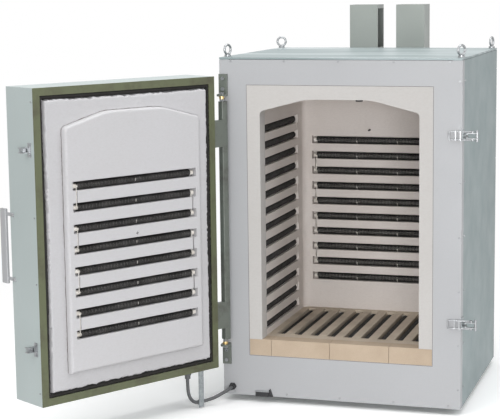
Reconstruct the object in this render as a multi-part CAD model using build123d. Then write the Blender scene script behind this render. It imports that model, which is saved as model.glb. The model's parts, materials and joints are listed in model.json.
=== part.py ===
"""Front-loading muffle furnace with a swing door, heated from both sides, the back, the hearth and the door.

Millimetres, +Z up, +X to the right seen from the front, +Y into the cabinet. The pieces are laid out
from the middle of the cabinet's front edge, then all moved together so that the origin is the
bottom centre of the whole furnace as it stands, with the door open.
"""

import math
import os

from build123d import *

# Cabinet. Its height follows from the chamber's, and the chamber's width and depth from the cabinet's
CAB_W = 940.0  # width of the cabinet
CAB_D = 850.0  # depth of the cabinet
SHEET = 2.0  # steel sheet of the cabinet
FRONT_RETURN = 45.0  # folded edge of the front panel along both sides
SEAM = 2.0  # gap between the front panel's folded edge and the side panel
LID_LIP = 7.0  # folded lip of the roof panel
LID_GAP = 1.5  # dark joint under the roof's lip
SIDE_FLANGE = 22.0  # inward flange at the front of each side panel
POST = 35.0  # leg of the corner angles
POST_T = 3.0  # thickness of the corner angles

# Feet
FOOT_H = 25.0
FOOT_DISC_D = 70.0
FOOT_DISC_H = 8.0
FOOT_STEM_D = 24.0
FOOT_INSET = 120.0  # feet from all four edges of the cabinet

# Opening in the front panel and the refractory mouth
OPENING_RETURN = 20.0  # fold of the front panel into its opening
MOUTH_LEDGE = 8.0  # mouth narrower than the chamber, each side
MOUTH_SPRING = 893.0  # height of the straight sides above the sill
MOUTH_RISE = 47.0  # rise of the arch
MOUTH_FLAT = 250.0  # width of the flat crown before its corners are rounded
MOUTH_CROWN_R = 240.0
MOUTH_FOOT_R = 18.0  # rounding where the haunches meet the sides
COLLAR_D = 65.0  # depth of the mouth collar
COLLAR_SIDE = 51.0  # collar beside the mouth
COLLAR_TOP = 52.0  # collar above the crown

# Firebricks
BRICK_L = 232.0
BRICK_T = 64.0  # height of a sill brick
BRICK_JOINT = 1.5
SILL_FIRST_JOINT = 88.0  # first joint from the left end of the sill
WALL_T = 114.0  # brick lining of the chamber

# Chamber
HEARTH_DROP = 4.0  # hearth below the top of the sill
VAULT_TOP = 114.0  # brick above the crown
BASE_BACKING = 107.0  # fibre under the hearth
SIDE_BACKING = 36.0
TOP_BACKING = 34.0
BACK_BACKING = 42.0
ROOF_GAP = 8.0  # air over the top fibre
CABLE_SPACE = 42.0  # air behind the back fibre
COVE_R = 28.0  # hollow corners between the side walls and the rear wall

# Heating elements: a coil on a ceramic tube in a groove
GROOVE_H = 33.0
GROOVE_DEPTH = 34.0
COIL_D = 29.0
TUBE_D = 17.0
COIL_FIT = 0.15  # radial gap between a coil and its tube
COIL_SEAT = 0.1  # gap between a coil and the groove it lies in
TUBE_END = 5.0  # groove beyond each end of a tube
COIL_END = 14.0  # tube beyond each end of a coil
LEAD = 4.0  # square section of the leads that link the rows
LEAD_SLOT = 7.0  # slot cut for a lead
LEAD_SLOT_DEPTH = 22.0

SIDE_PITCH = 65.0
SIDE_TOP_ROW = 77.0  # first side row below the springing
SIDE_LAST_ROW = 36.0  # lowest side row above the sill
SIDE_GROOVE_Y0 = 7.0  # side grooves behind the collar
SIDE_GROOVE_Y1 = 85.0  # side grooves in front of the rear wall
BACK_PITCH = 65.0
BACK_TOP_ROW = 174.0
BACK_LAST_ROW = 134.0
BACK_GROOVE_X = 38.0  # ends of the rear grooves from the side walls
HEARTH_ROWS = 9
HEARTH_EDGE = 46.0  # outer hearth rows from the side walls
HEARTH_GROOVE_Y0 = 65.0
HEARTH_GROOVE_Y1 = 30.0
DOOR_PITCH = 76.5
DOOR_TOP_ROW = 214.0
DOOR_LAST_ROW = 143.0
DOOR_GROOVE_X = 25.0  # ends of the door's grooves from the edge of its plug

# Probe and flue
PROBE_X = -28.0
PROBE_DROP = 129.0  # probe below the springing
PROBE_D = 7.0
PROBE_REACH = 24.0  # probe into the chamber
PROBE_HEAD_D = 26.0
PROBE_HEAD_L = 22.0
FLUE_X = 55.0
FLUE_Y = 110.0
FLUE_OD = 28.0
FLUE_BORE = 20.0
FLUE_DROP = 14.0  # flue sleeve below the crown

# Rear terminal cover and air ducts
COVER_W = 620.0
COVER_D = 118.0
COVER_Z0 = 260.0
COVER_H = 740.0
COVER_SHEET = 1.5
COVER_LOUVRES = 6
LOUVRE_FOOT = 60.0  # lowest louvre above the cover's foot
LOUVRE_W = 180.0
LOUVRE_H = 8.0
LOUVRE_PITCH = 24.0
WINDOW_W = 480.0  # window in the rear panel behind the cover
WINDOW_H = 560.0
WINDOW_RISE = 90.0  # window above the cover's lower edge
DUCT_W = 122.0
DUCT_X = 101.0  # duct centre from the middle
DUCT_TOP = 182.0  # duct above the roof
DUCT_HEAD = 16.0  # closed strip above a duct's side outlet
DUCT_EDGE = 6.0  # strip at the front of a duct's side outlet
STRIP_X = 120.0
STRIP_W = 40.0
STRIP_T = 16.0
STRIP_H = 480.0
STUDS = 5
STUD_D = 8.0
STUD_L = 14.0
SUPPLY_D = 40.0
SUPPLY_L = 30.0

# Lifting eyebolts
EYE_INSET = 15.0  # eyebolts from the cabinet's sides
EYE_FRONT = 60.0
EYE_BACK = 45.0  # rear eyebolts from the cabinet's back
EYE_OD = 45.0
EYE_WIRE = 9.0
EYE_COLLAR_D = 25.0
EYE_COLLAR_H = 8.0
EYE_SHANK_D = 10.0
EYE_SHANK_L = 22.0
EYE_NUT = 18.0
EYE_NUT_H = 8.0
EYE_TURNS = {"front_left": 68.0, "rear_left": 12.0, "front_right": 55.0, "rear_right": 78.0}

# Hinge: a square bar on two pivot bolts, tied to the door by two lugs
HINGE_IN = 16.0  # hinge axis from the cabinet's left side
HINGE_Y = -24.0
HINGE_BAR = 26.0
HINGE_BAR_WALL = 3.0
HINGE_BAR_OFFSET = 5.0  # middle of the bar beyond the axis, away from the door
HINGE_BAR_PLUG = 40.0  # solid end of the bar
BRACKET_W = 34.0
BRACKET_H = 84.0
BRACKET_T = 8.0
BRACKET_TONGUE = 42.0
BRACKET_TOP = 79.0  # upper tongue below the door's top
BRACKET_FOOT = 82.0  # lower tongue above the door's foot
WASHER_D = 22.0
WASHER_H = 5.0  # one of two brass washers at each pivot
PIVOT_NUT = 17.0
PIVOT_NUT_H = 10.0
PIVOT_D = 10.0
PIVOT_FIT = 0.05  # radial clearance of the pivots
PIVOT_DEPTH = 30.0  # bolt inside the bar
PIVOT_PLAY = 0.2  # end gap of the bar
BRACKET_BOLT = 13.0
LUG_T = 20.0
LUG_H = 103.0
LUG_TOP = 272.0  # upper lug below the door's top
LUG_FOOT = 150.0  # lower lug above the door's foot
LUG_DROP = 2.0  # lug below the door's inner face

# Door
DOOR_OPEN = 121.0  # angle of the open door, in degrees
DOOR_T = 168.0
DOOR_LAP = 54.0  # door beyond the opening on its free side
DOOR_LAP_Z = 38.0  # door beyond the opening above and below
DOOR_GAP = 5.0  # door's inner rim to the front panel when shut
DOOR_REACH = 52.0  # door's hinge edge from the hinge axis
DOOR_SHEET = 2.0
RIM_W = 28.0
RIM_T = 3.0
LINING_INSET = 42.0
LINING_T = 59.0
LINING_PROUD = 4.0
PLUG_GAP = 5.0  # plug to the mouth all round
PLUG_PROUD = 25.0  # plug above the lining
PLUG_T = 55.0
PLUG_EDGE_R = 10.0  # rounding of the plug's front edges
PEEP_D = 10.0
PEEP_DROP = 413.0  # test hole below the springing

# Door handle
GRIP_L = 270.0
GRIP_W = 36.0
GRIP_T = 12.0
GRIP_GAP = 15.0  # grip to the door's outer face
GRIP_LOW = 6.0  # grip below the door's middle
ARM_H = 12.0
ARM_T = 5.0
ARM_LAP = 24.0  # arm on the door's side
ARM_INSET = 12.0

# Toggle latches on the right and keepers on the door
LATCH_TOP = 216.0  # upper latch below the door's top
LATCH_FOOT = 206.0  # lower latch above the door's foot
LATCH_PIVOT_OUT = 20.0  # lever pivot beyond the side panel
LATCH_PIVOT_FWD = 8.0  # lever pivot in front of the front panel
LATCH_PLATE_T = 3.0
LATCH_PLATE_H = 44.0
LATCH_PLATE_L = 40.0
LATCH_PLATE_Y = 4.0
EAR_GAP = 10.0  # inside width between the ears
EAR_T = 3.0
LEVER_GAP = 0.4  # ear to lever cheek
LEVER_T = 3.0
LEVER_W = 14.0
LEVER_L = 36.0
LINK_R = 20.0  # lever pivot to bail pivot
LATCH_PIN_D = 6.0
PIN_FIT = 0.08  # radial clearance on the latch pins
LEVER_GRIP_D = 10.0
LEVER_GRIP_H = 42.0
BAIL_WIRE = 5.0
BAIL_EYE_D = 12.0
BAIL_EYE_H = 6.0
BAIL_BAR_D = 7.0
BAIL_BAR_L = 34.0
BAIL_REST = 4.0  # open bail turned forward, in degrees
YOKE_T = 4.0
YOKE_W = 10.0
YOKE_AT = (24.0, 42.0)  # yokes from the hook bar
LEVER_SWING = 90.0
KEEPER_T = 2.5
KEEPER_START = 20.0  # keeper plate behind the door's inner face
KEEPER_L = 20.0
KEEPER_H = 50.0
CHEEK_START = 36.0
CHEEK_END = 47.2  # outer face of the keeper's wall
CHEEK_REACH = 32.0  # keeper out of the door's side
CHEEK_OUT = 10.0  # keeper's half height
CHEEK_T = 3.0
NOSE_L = 8.0
NOSE_W = 6.0
CATCH_OUT = 21.0  # hook bar from the door's side when latched
CATCH_GAP = 0.3  # hook bar to the keeper when latched

# Conduit between the cabinet and the door
CONDUIT_D = 14.0
GLAND_IN = 37.0  # gland from the cabinet's left side
GLAND_Z = 57.0
GLAND_D = 26.0
GLAND_L = 22.0
GLAND_NUT_H = 8.0
CLIP_ALONG = 82.5  # conduit clip from the door's hinge edge
CLIP_L = 14.0
CLIP_T = 3.0
CLIP_Z = 23.0
CLIP_FIT = 0.3
STRAP_W = 24.0
STRAP_T = 3.0
STRAP_END = 5.0  # lower end of the strap above the floor
STRAP_FOOT = 28.0  # strap's fold under the door
STRAP_BACK = 8.0  # strap behind the door's inner face
EXIT_ALONG = 142.0  # conduit's entry into the door from its hinge edge
BEND_SHARE = 0.45  # largest share of a run that one bend may take

# Door switch at the foot of the front panel
SWITCH_OFF = 8.5  # middle of the switch box beside the strap
SWITCH_W = 54.0
SWITCH_H = 18.0
SWITCH_D = 11.0
CAM_W = 16.0
CAM_H = 31.0
CAM_T = 6.0

# Screws
SCREW = 8.0  # across the flats
SCREW_H = 2.0
SCREW_IN_X = 46.0  # outer screws of the top and bottom rows from the sides
SCREW_EDGE = 12.0
SCREW_SIDE_EDGE = 9.0
SCREW_END = 76.0  # outer screws of the side rows from the panel's ends
SCREW_FIRST = 170.0  # from an outer screw to the next
TOP_SCREWS = 5  # screws in the top and bottom rows
SIDE_SCREWS = 5  # screws in a side row between its outer ones
DOOR_SCREW_IN = 14.0
DOOR_SCREW_END = 48.0
DOOR_SCREW_GRIP = 118.0  # casing screws from the middle of the grip

# Places that follow from the sizes above
HALF_W = CAB_W / 2
INNER_X = HALF_W - SHEET
INNER_BACK = CAB_D - SHEET
Z0 = FOOT_H
LINING_Z0 = Z0 + SHEET + BASE_BACKING
HEARTH_Z = LINING_Z0 + WALL_T
SILL_Z = HEARTH_Z + HEARTH_DROP
SPRING_Z = SILL_Z + MOUTH_SPRING
CROWN_Z = SPRING_Z + MOUTH_RISE
LINING_Z1 = CROWN_Z + VAULT_TOP
Z1 = LINING_Z1 + TOP_BACKING + ROOF_GAP + SHEET
PANEL_TOP = Z1 - LID_LIP - LID_GAP
WALL_X1 = INNER_X - SIDE_BACKING
WALL_X0 = WALL_X1 - WALL_T
MOUTH_X = WALL_X0 - MOUTH_LEDGE
OPENING_X = MOUTH_X + COLLAR_SIDE
OPENING_Z0 = SILL_Z - BRICK_T
OPENING_Z1 = CROWN_Z + COLLAR_TOP
RETURN_OUT = OPENING_X + SHEET
BACKING_Y1 = INNER_BACK - CABLE_SPACE
LINING_Y1 = BACKING_Y1 - BACK_BACKING
CHAMBER_Y1 = LINING_Y1 - WALL_T
COVER_Z1 = COVER_Z0 + COVER_H
HINGE_X = HINGE_IN - HALF_W
GLAND_X = GLAND_IN - HALF_W
DOOR_X0 = HINGE_X + DOOR_REACH
DOOR_X1 = OPENING_X + DOOR_LAP
DOOR_Y1 = -DOOR_GAP
DOOR_Y0 = DOOR_Y1 - DOOR_T
DOOR_Z0 = OPENING_Z0 - DOOR_LAP_Z
DOOR_Z1 = OPENING_Z1 + DOOR_LAP_Z
BRACKET_UP_Z = DOOR_Z1 - BRACKET_TOP  # underside of the upper tongue
BRACKET_LOW_Z = DOOR_Z0 + BRACKET_FOOT  # top of the lower tongue
LUG_UP_Z = DOOR_Z1 - LUG_TOP
LUG_LOW_Z = DOOR_Z0 + LUG_FOOT
GRIP_Z = (DOOR_Z0 + DOOR_Z1) / 2 - GRIP_LOW
LATCH_Z = (DOOR_Z1 - LATCH_TOP, DOOR_Z0 + LATCH_FOOT)
LINING_Y = DOOR_Y1 + LINING_PROUD
PLUG_Y = LINING_Y + PLUG_PROUD
PLUG_X = MOUTH_X - PLUG_GAP
SWITCH_X = DOOR_X0 + CLIP_ALONG + SWITCH_OFF
LATCH_X = HALF_W + LATCH_PIVOT_OUT
LATCH_Y = -LATCH_PIVOT_FWD
EAR_OUT = EAR_GAP / 2 + EAR_T
LEVER_IN = EAR_OUT + LEVER_GAP
LEVER_OUT = LEVER_IN + LEVER_T
BAIL_Z = LEVER_OUT + LEVER_GAP + BAIL_EYE_H / 2
CATCH_X = DOOR_X1 + CATCH_OUT
CATCH_Y = DOOR_Y1 - CHEEK_END - BAIL_BAR_D / 2 - CATCH_GAP
BAIL_L = math.dist((LATCH_X, LATCH_Y + LINK_R), (CATCH_X, CATCH_Y))
CONDUIT_Y = DOOR_Y1 - STRAP_BACK - STRAP_T - CONDUIT_D / 2 - CLIP_FIT
BAR_Z0 = BRACKET_LOW_Z + 2 * WASHER_H + PIVOT_NUT_H + PIVOT_PLAY
BAR_Z1 = BRACKET_UP_Z - 2 * WASHER_H - PIVOT_NUT_H - PIVOT_PLAY


def block(x0, x1, y0, y1, z0, z1):
    """A box between two corners."""
    middle = Pos((x0 + x1) / 2, (y0 + y1) / 2, (z0 + z1) / 2)
    return middle * Box(abs(x1 - x0), abs(y1 - y0), abs(z1 - z0))


def mirrored(solid):
    """The same solid on the other side of the cabinet."""
    return mirror(solid, about=Plane.YZ)


def along_y(face, y0, y1):
    """A face drawn in X and Z, carried from y0 to y1."""
    return extrude(Plane.XZ.offset(-y1) * face, amount=y1 - y0)


def along_z(face, z0, z1):
    """A face drawn in X and Y, carried from z0 to z1."""
    return extrude(Plane.XY.offset(z0) * face, amount=z1 - z0)


def rod(diameter, z0, z1, x=0.0, y=0.0):
    """An upright round bar."""
    return Pos(x, y, (z0 + z1) / 2) * Cylinder(diameter / 2, z1 - z0)


def hexagon(flats, z0, z1, x=0.0, y=0.0):
    """An upright six-sided nut or head."""
    face = Pos(x, y) * RegularPolygon(flats / math.sqrt(3), 6)
    return along_z(face, z0, z1)


def arch(half_width, z_foot, inset=0.0):
    """Outline of the mouth from z_foot up: straight sides, sloping haunches and a nearly flat crown."""
    spring, crown = SPRING_Z - inset, CROWN_Z - inset
    right = [(half_width, z_foot), (half_width, spring), (MOUTH_FLAT / 2, crown)]
    left = [(-x, z) for x, z in reversed(right)]
    face = Polygon(*right, *left, align=None)
    corners = face.vertices()
    crown_corners = [v for v in corners if abs(v.Y - crown) < 0.01]
    face = fillet(crown_corners, MOUTH_CROWN_R)
    feet = [v for v in face.vertices() if abs(v.Y - spring) < 0.01]
    return fillet(feet, MOUTH_FOOT_R)


# Grooves and heating elements. A row is drawn along its own X, its groove opens at y = 0 and runs
# to y = GROOVE_DEPTH, and a frame turns it to face the chamber.


def facing_back(x, z):
    return Pos(x, CHAMBER_Y1, z)


def facing_left(y, z):
    return Pos(-WALL_X0, y, z) * Rot(0, 0, 90)


def facing_right(y, z):
    return Pos(WALL_X0, y, z) * Rot(0, 0, -90)


def facing_hearth(x, y):
    return Plane(origin=(x, y, HEARTH_Z), x_dir=(0, 1, 0), z_dir=(-1, 0, 0)).location


def facing_door(x, z):
    return Pos(x, PLUG_Y, z) * Rot(180, 0, 0)


def groove(length):
    """Cutter of one groove: flat sides and a half-round bottom."""
    radius = GROOVE_H / 2
    straight = block(-length / 2, length / 2, -1, GROOVE_DEPTH - radius, -radius, radius)
    bottom = Pos(0, GROOVE_DEPTH - radius, 0) * Rot(0, 90, 0) * Cylinder(radius, length)
    return straight + bottom


def element_axis(down):
    """Where a coil lies in its groove: on the side that points down, or on the bottom."""
    radius = GROOVE_H / 2
    if down == 0:
        return Pos(0, GROOVE_DEPTH - COIL_D / 2 - COIL_SEAT, 0)
    return Pos(0, GROOVE_DEPTH - radius, down * (radius - COIL_D / 2 - COIL_SEAT))


def ceramic_tube(length, down):
    body = Rot(0, 90, 0) * Cylinder(TUBE_D / 2, length - 2 * TUBE_END)
    return element_axis(down) * body


def coil(length, down):
    span = length - 2 * TUBE_END - 2 * COIL_END
    body = Cylinder(COIL_D / 2, span) - Cylinder(TUBE_D / 2 + COIL_FIT, span)
    return element_axis(down) * Rot(0, 90, 0) * body


def lead_places(rows, first_end):
    """Rows linked in a zigzag: (upper row, end) with end -1 or 1 along the row."""
    return [(row, first_end if row % 2 == 0 else -first_end) for row in range(rows - 1)]


def lead_at(length, end):
    """Middle of a lead beside the end of a coil."""
    return end * (length / 2 - TUBE_END - COIL_END + LEAD / 2)


def lead(pitch, length, end, down, step):
    """Flat lead from one row to the next, beside the ends of their coils."""
    x = lead_at(length, end)
    body = block(x - LEAD / 2, x + LEAD / 2, -LEAD / 2, LEAD / 2, 0, step * pitch)
    lift = Pos(0, -TUBE_D / 2 - LEAD / 2, 0)
    return element_axis(down) * lift * body


def lead_slot(pitch, length, end, step):
    """Cutter for a lead's slot between two grooves."""
    x = lead_at(length, end)
    half = LEAD_SLOT / 2
    return block(x - half, x + half, -1, LEAD_SLOT_DEPTH, 0, step * pitch)


def heated_wall(body, frames, length, pitch, down, step, first_end):
    """A wall with its grooves cut, and the tubes, coils and leads that lie in them."""
    tubes, coils = [], []
    for frame in frames:
        body -= frame * groove(length)
        tubes.append(frame * ceramic_tube(length, down))
        coils.append(frame * coil(length, down))
    for row, end in lead_places(len(frames), first_end):
        body -= frames[row] * lead_slot(pitch, length, end, step)
        coils.append(frames[row] * lead(pitch, length, end, down, step))
    return body, tubes, coils


def rows_down(top, last, pitch):
    """Places of the rows from the top one down to the last that is still above a height."""
    return [top - pitch * i for i in range(int((top - last) / pitch + 0.001) + 1)]


# Cabinet


def feet():
    foot_x = HALF_W - FOOT_INSET
    places = [(x, y) for x in (-foot_x, foot_x) for y in (FOOT_INSET, CAB_D - FOOT_INSET)]
    made = []
    for x, y in places:
        disc = rod(FOOT_DISC_D, 0, FOOT_DISC_H, x, y)
        made.append(disc + rod(FOOT_STEM_D, FOOT_DISC_H, FOOT_H, x, y))
    return made


def bottom_pan():
    return block(-INNER_X, INNER_X, SHEET, INNER_BACK, Z0, Z0 + SHEET)


def corner_posts():
    """Upright angles in the four corners, from the pan to the roof."""
    z0, z1 = Z0 + SHEET, Z1 - SHEET
    front = block(INNER_X - POST, INNER_X, SHEET, SHEET + POST_T, z0, z1)
    front += block(INNER_X - POST_T, INNER_X, SHEET, SHEET + POST, z0, z1)
    back = block(INNER_X - POST, INNER_X, INNER_BACK - POST_T, INNER_BACK, z0, z1)
    back += block(INNER_X - POST_T, INNER_X, INNER_BACK - POST, INNER_BACK, z0, z1)
    return [front, back, mirrored(front), mirrored(back)]


def front_panel():
    half = OPENING_X
    sheet = block(-HALF_W, HALF_W, 0, SHEET, Z0, PANEL_TOP)
    for x in (-HALF_W, INNER_X):
        sheet += block(x, x + SHEET, SHEET, FRONT_RETURN, Z0, PANEL_TOP)
    fold = block(-RETURN_OUT, RETURN_OUT, SHEET, OPENING_RETURN, OPENING_Z0 - SHEET, OPENING_Z1 + SHEET)
    return sheet + fold - block(-half, half, -1, OPENING_RETURN + 1, OPENING_Z0, OPENING_Z1)


def side_panel():
    y0 = FRONT_RETURN + SEAM
    sheet = block(INNER_X, HALF_W, y0, INNER_BACK, Z0, PANEL_TOP)
    return sheet + block(INNER_X - SIDE_FLANGE, INNER_X, y0, y0 + SHEET, Z0 + SHEET, PANEL_TOP)


def rear_panel():
    """Back sheet with a window behind the terminal cover."""
    sheet = block(-HALF_W, HALF_W, INNER_BACK, CAB_D, Z0, PANEL_TOP)
    z0 = COVER_Z0 + WINDOW_RISE
    return sheet - block(-WINDOW_W / 2, WINDOW_W / 2, INNER_BACK - 1, CAB_D + 1, z0, z0 + WINDOW_H)


def roof_panel():
    lid = block(-HALF_W, HALF_W, 0, CAB_D, Z1 - LID_LIP, Z1)
    lid -= block(-INNER_X, INNER_X, SHEET, INNER_BACK, Z1 - LID_LIP - 1, Z1 - SHEET)
    for x, y in eye_places().values():
        lid -= rod(EYE_SHANK_D, Z1 - LID_LIP, Z1 + 1, x, y)
    return lid


def mouth_collar():
    ring = block(-OPENING_X, OPENING_X, 0, COLLAR_D, SILL_Z, OPENING_Z1)
    return ring - along_y(arch(MOUTH_X, SILL_Z - 1), -1, COLLAR_D + 1)


def sill_bricks():
    """Two whole bricks between two cut ones."""
    half = OPENING_X
    joints = [-half, SILL_FIRST_JOINT - half]
    while joints[-1] + BRICK_L + BRICK_JOINT < half:
        joints.append(joints[-1] + BRICK_L + BRICK_JOINT)
    joints.append(half + BRICK_JOINT)
    made = []
    for x0, x1 in zip(joints, joints[1:]):
        made.append(block(x0, x1 - BRICK_JOINT, SHEET, COLLAR_D, OPENING_Z0, SILL_Z))
    return made


def front_insulation():
    """Slabs behind the front panel, round its folded opening."""
    x1 = INNER_X - POST - 2
    z0, z1 = OPENING_Z0 - SHEET, OPENING_Z1 + SHEET
    side = block(RETURN_OUT, x1, SHEET, COLLAR_D, z0, z1)
    below = block(-x1, x1, SHEET, COLLAR_D, Z0 + SHEET, z0)
    above = block(-x1, x1, SHEET, COLLAR_D, z1, LINING_Z1 + TOP_BACKING)
    return [side, mirrored(side), below, above]


def backing_insulation():
    """Slabs between the brick lining and the casing."""
    z0 = Z0 + SHEET
    side = block(WALL_X1, INNER_X, COLLAR_D, LINING_Y1, z0, LINING_Z1)
    below = block(-WALL_X1, WALL_X1, COLLAR_D, LINING_Y1, z0, LINING_Z0)
    above = block(-WALL_X1, WALL_X1, COLLAR_D, LINING_Y1, LINING_Z1, LINING_Z1 + TOP_BACKING)
    above -= rod(FLUE_OD, LINING_Z1 - 1, Z1, FLUE_X, FLUE_Y)
    back = block(-WALL_X1, WALL_X1, LINING_Y1, BACKING_Y1, z0, LINING_Z1)
    back -= probe_bore()
    return [side, mirrored(side), below, above, back]


def chamber():
    """Brick lining with its grooves, tubes and coils."""
    made = {}
    y0, y1 = COLLAR_D + SIDE_GROOVE_Y0, CHAMBER_Y1 - SIDE_GROOVE_Y1
    rows = rows_down(SPRING_Z - SIDE_TOP_ROW, SILL_Z + SIDE_LAST_ROW, SIDE_PITCH)
    left = block(-WALL_X1, -WALL_X0, COLLAR_D, CHAMBER_Y1, LINING_Z0, SPRING_Z)
    frames = [facing_left((y0 + y1) / 2, z) for z in rows]
    made["left_wall"] = heated_wall(left, frames, y1 - y0, SIDE_PITCH, -1, -1, 1)
    right = block(WALL_X0, WALL_X1, COLLAR_D, CHAMBER_Y1, LINING_Z0, SPRING_Z)
    frames = [facing_right((y0 + y1) / 2, z) for z in rows]
    made["right_wall"] = heated_wall(right, frames, y1 - y0, SIDE_PITCH, -1, -1, -1)

    back = block(-WALL_X1, WALL_X1, CHAMBER_Y1, LINING_Y1, LINING_Z0, LINING_Z1)
    back -= probe_bore()
    rows = rows_down(SPRING_Z - BACK_TOP_ROW, SILL_Z + BACK_LAST_ROW, BACK_PITCH)
    frames = [facing_back(0, z) for z in rows]
    length = 2 * (WALL_X0 - BACK_GROOVE_X)
    made["rear_wall"] = heated_wall(back, frames, length, BACK_PITCH, -1, -1, 1)

    hearth = block(-WALL_X0, WALL_X0, COLLAR_D, CHAMBER_Y1, LINING_Z0, HEARTH_Z)
    y0, y1 = COLLAR_D + HEARTH_GROOVE_Y0, CHAMBER_Y1 - HEARTH_GROOVE_Y1
    outer = WALL_X0 - HEARTH_EDGE
    pitch = 2 * outer / (HEARTH_ROWS - 1)
    frames = [facing_hearth(x, (y0 + y1) / 2) for x in rows_down(outer, -outer, pitch)]
    made["hearth"] = heated_wall(hearth, frames, y1 - y0, pitch, 0, 1, 1)
    return made


def cove():
    """Hollow corner strip between the rear wall and the right wall, from the hearth to the springing."""
    x, y = WALL_X0 - COVE_R, CHAMBER_Y1 - COVE_R
    square = Pos(x + COVE_R / 2, y + COVE_R / 2) * Rectangle(COVE_R, COVE_R)
    return along_z(square - Pos(x, y) * Circle(COVE_R), HEARTH_Z, SPRING_Z)


def vault_bricks():
    top = block(-WALL_X1, WALL_X1, COLLAR_D, CHAMBER_Y1, SPRING_Z, LINING_Z1)
    top -= along_y(arch(WALL_X0, SPRING_Z - MOUTH_FOOT_R * 2), COLLAR_D - 1, CHAMBER_Y1 + 1)
    return top - rod(FLUE_OD, SPRING_Z, LINING_Z1 + 1, FLUE_X, FLUE_Y)


def flue_sleeve():
    z0, z1 = CROWN_Z - FLUE_DROP, LINING_Z1 + TOP_BACKING
    return rod(FLUE_OD, z0, z1, FLUE_X, FLUE_Y) - rod(FLUE_BORE, z0 - 1, z1 + 1, FLUE_X, FLUE_Y)


def probe_rod(diameter, y0, y1):
    middle = Pos(PROBE_X, (y0 + y1) / 2, SPRING_Z - PROBE_DROP)
    return middle * Rot(90, 0, 0) * Cylinder(diameter / 2, y1 - y0)


def probe_bore():
    return probe_rod(PROBE_D, CHAMBER_Y1 - 1, BACKING_Y1 + 1)


def thermocouple():
    sheath = probe_rod(PROBE_D, CHAMBER_Y1 - PROBE_REACH, BACKING_Y1)
    return sheath + probe_rod(PROBE_HEAD_D, BACKING_Y1, BACKING_Y1 + PROBE_HEAD_L)


def terminal_strips():
    """Ceramic strips with studs on the back insulation, where the coils' ends come out."""
    z0 = COVER_Z0 + WINDOW_RISE + (WINDOW_H - STRIP_H) / 2
    strip = block(STRIP_X, STRIP_X + STRIP_W, BACKING_Y1, BACKING_Y1 + STRIP_T, z0, z0 + STRIP_H)
    pitch = STRIP_H / STUDS
    for i in range(STUDS):
        place = Pos(STRIP_X + STRIP_W / 2, BACKING_Y1 + STRIP_T + STUD_L / 2, z0 + pitch * (i + 0.5))
        strip += place * Rot(90, 0, 0) * Cylinder(STUD_D / 2, STUD_L)
    return [strip, mirrored(strip)]


def terminal_cover():
    """Rear box over the terminals, welded from plates: louvres low down, and the air leaves through the ducts."""
    half, t = COVER_W / 2, COVER_SHEET
    y0, y1 = CAB_D, CAB_D + COVER_D - COVER_SHEET
    back = block(-half, half, y1, y1 + t, COVER_Z0, COVER_Z1)
    for i in range(COVER_LOUVRES):
        z = COVER_Z0 + LOUVRE_FOOT + i * LOUVRE_PITCH
        for x in (-half / 2, half / 2):
            back -= block(x - LOUVRE_W / 2, x + LOUVRE_W / 2, y1 - t, y1 + 2 * t, z, z + LOUVRE_H)
    side = block(half - t, half, y0, y1, COVER_Z0, COVER_Z1)
    top = block(t - half, half - t, y0, y1, COVER_Z1 - t, COVER_Z1)
    for x in (-DUCT_X, DUCT_X):
        inner = DUCT_W / 2 - t
        top -= block(x - inner, x + inner, y0 + t, y1 + t, COVER_Z1 - 2 * t, COVER_Z1 + t)
    bottom = block(t - half, half - t, y0, y1, COVER_Z0, COVER_Z0 + t)
    bottom -= rod(SUPPLY_D, COVER_Z0 - t, COVER_Z0 + 2 * t, half - SUPPLY_D, CAB_D + COVER_D / 2)
    return [back, side, mirrored(side), top, bottom]


def rear_duct(side):
    """Square air duct behind the cabinet; its outlet is the side that faces the other duct."""
    x, t = side * DUCT_X, COVER_SHEET
    half = DUCT_W / 2
    y1 = CAB_D + COVER_D
    top = Z1 + DUCT_TOP
    duct = block(x - half, x + half, CAB_D, y1, COVER_Z1, top)
    duct -= block(x - half + t, x + half - t, CAB_D + t, y1 - t, COVER_Z1 - 1, top - t)
    wall = x - side * half
    return duct - block(wall - 2 * t, wall + 2 * t, CAB_D + DUCT_EDGE, y1 - t, Z1, top - DUCT_HEAD)


def eye_places():
    x, y = HALF_W - EYE_INSET, CAB_D - EYE_BACK
    return {
        "front_left": (-x, EYE_FRONT),
        "rear_left": (-x, y),
        "front_right": (x, EYE_FRONT),
        "rear_right": (x, y),
    }


def lifting_eyebolts():
    """Ring, collar and shank in one, with a nut under the roof."""
    ring_r = (EYE_OD - EYE_WIRE) / 2
    made = []
    for name, (x, y) in eye_places().items():
        ring_z = Z1 + EYE_COLLAR_H + EYE_OD / 2 - EYE_WIRE / 3
        turn = Pos(x, y, ring_z) * Rot(0, 0, EYE_TURNS[name]) * Rot(90, 0, 0)
        bolt = turn * Torus(ring_r, EYE_WIRE / 2)
        bolt += rod(EYE_COLLAR_D, Z1, Z1 + EYE_COLLAR_H, x, y)
        bolt += rod(EYE_SHANK_D, Z1 - EYE_SHANK_L, Z1, x, y)
        made.append(bolt)
        nut = hexagon(EYE_NUT, Z1 - SHEET - EYE_NUT_H, Z1 - SHEET, x, y)
        made.append(nut - rod(EYE_SHANK_D, Z1 - EYE_SHANK_L, Z1, x, y))
    return made


def spread(first, last, count):
    """Places spread evenly between two ends."""
    return [first + (last - first) * i / (count - 1) for i in range(count)]


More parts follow.
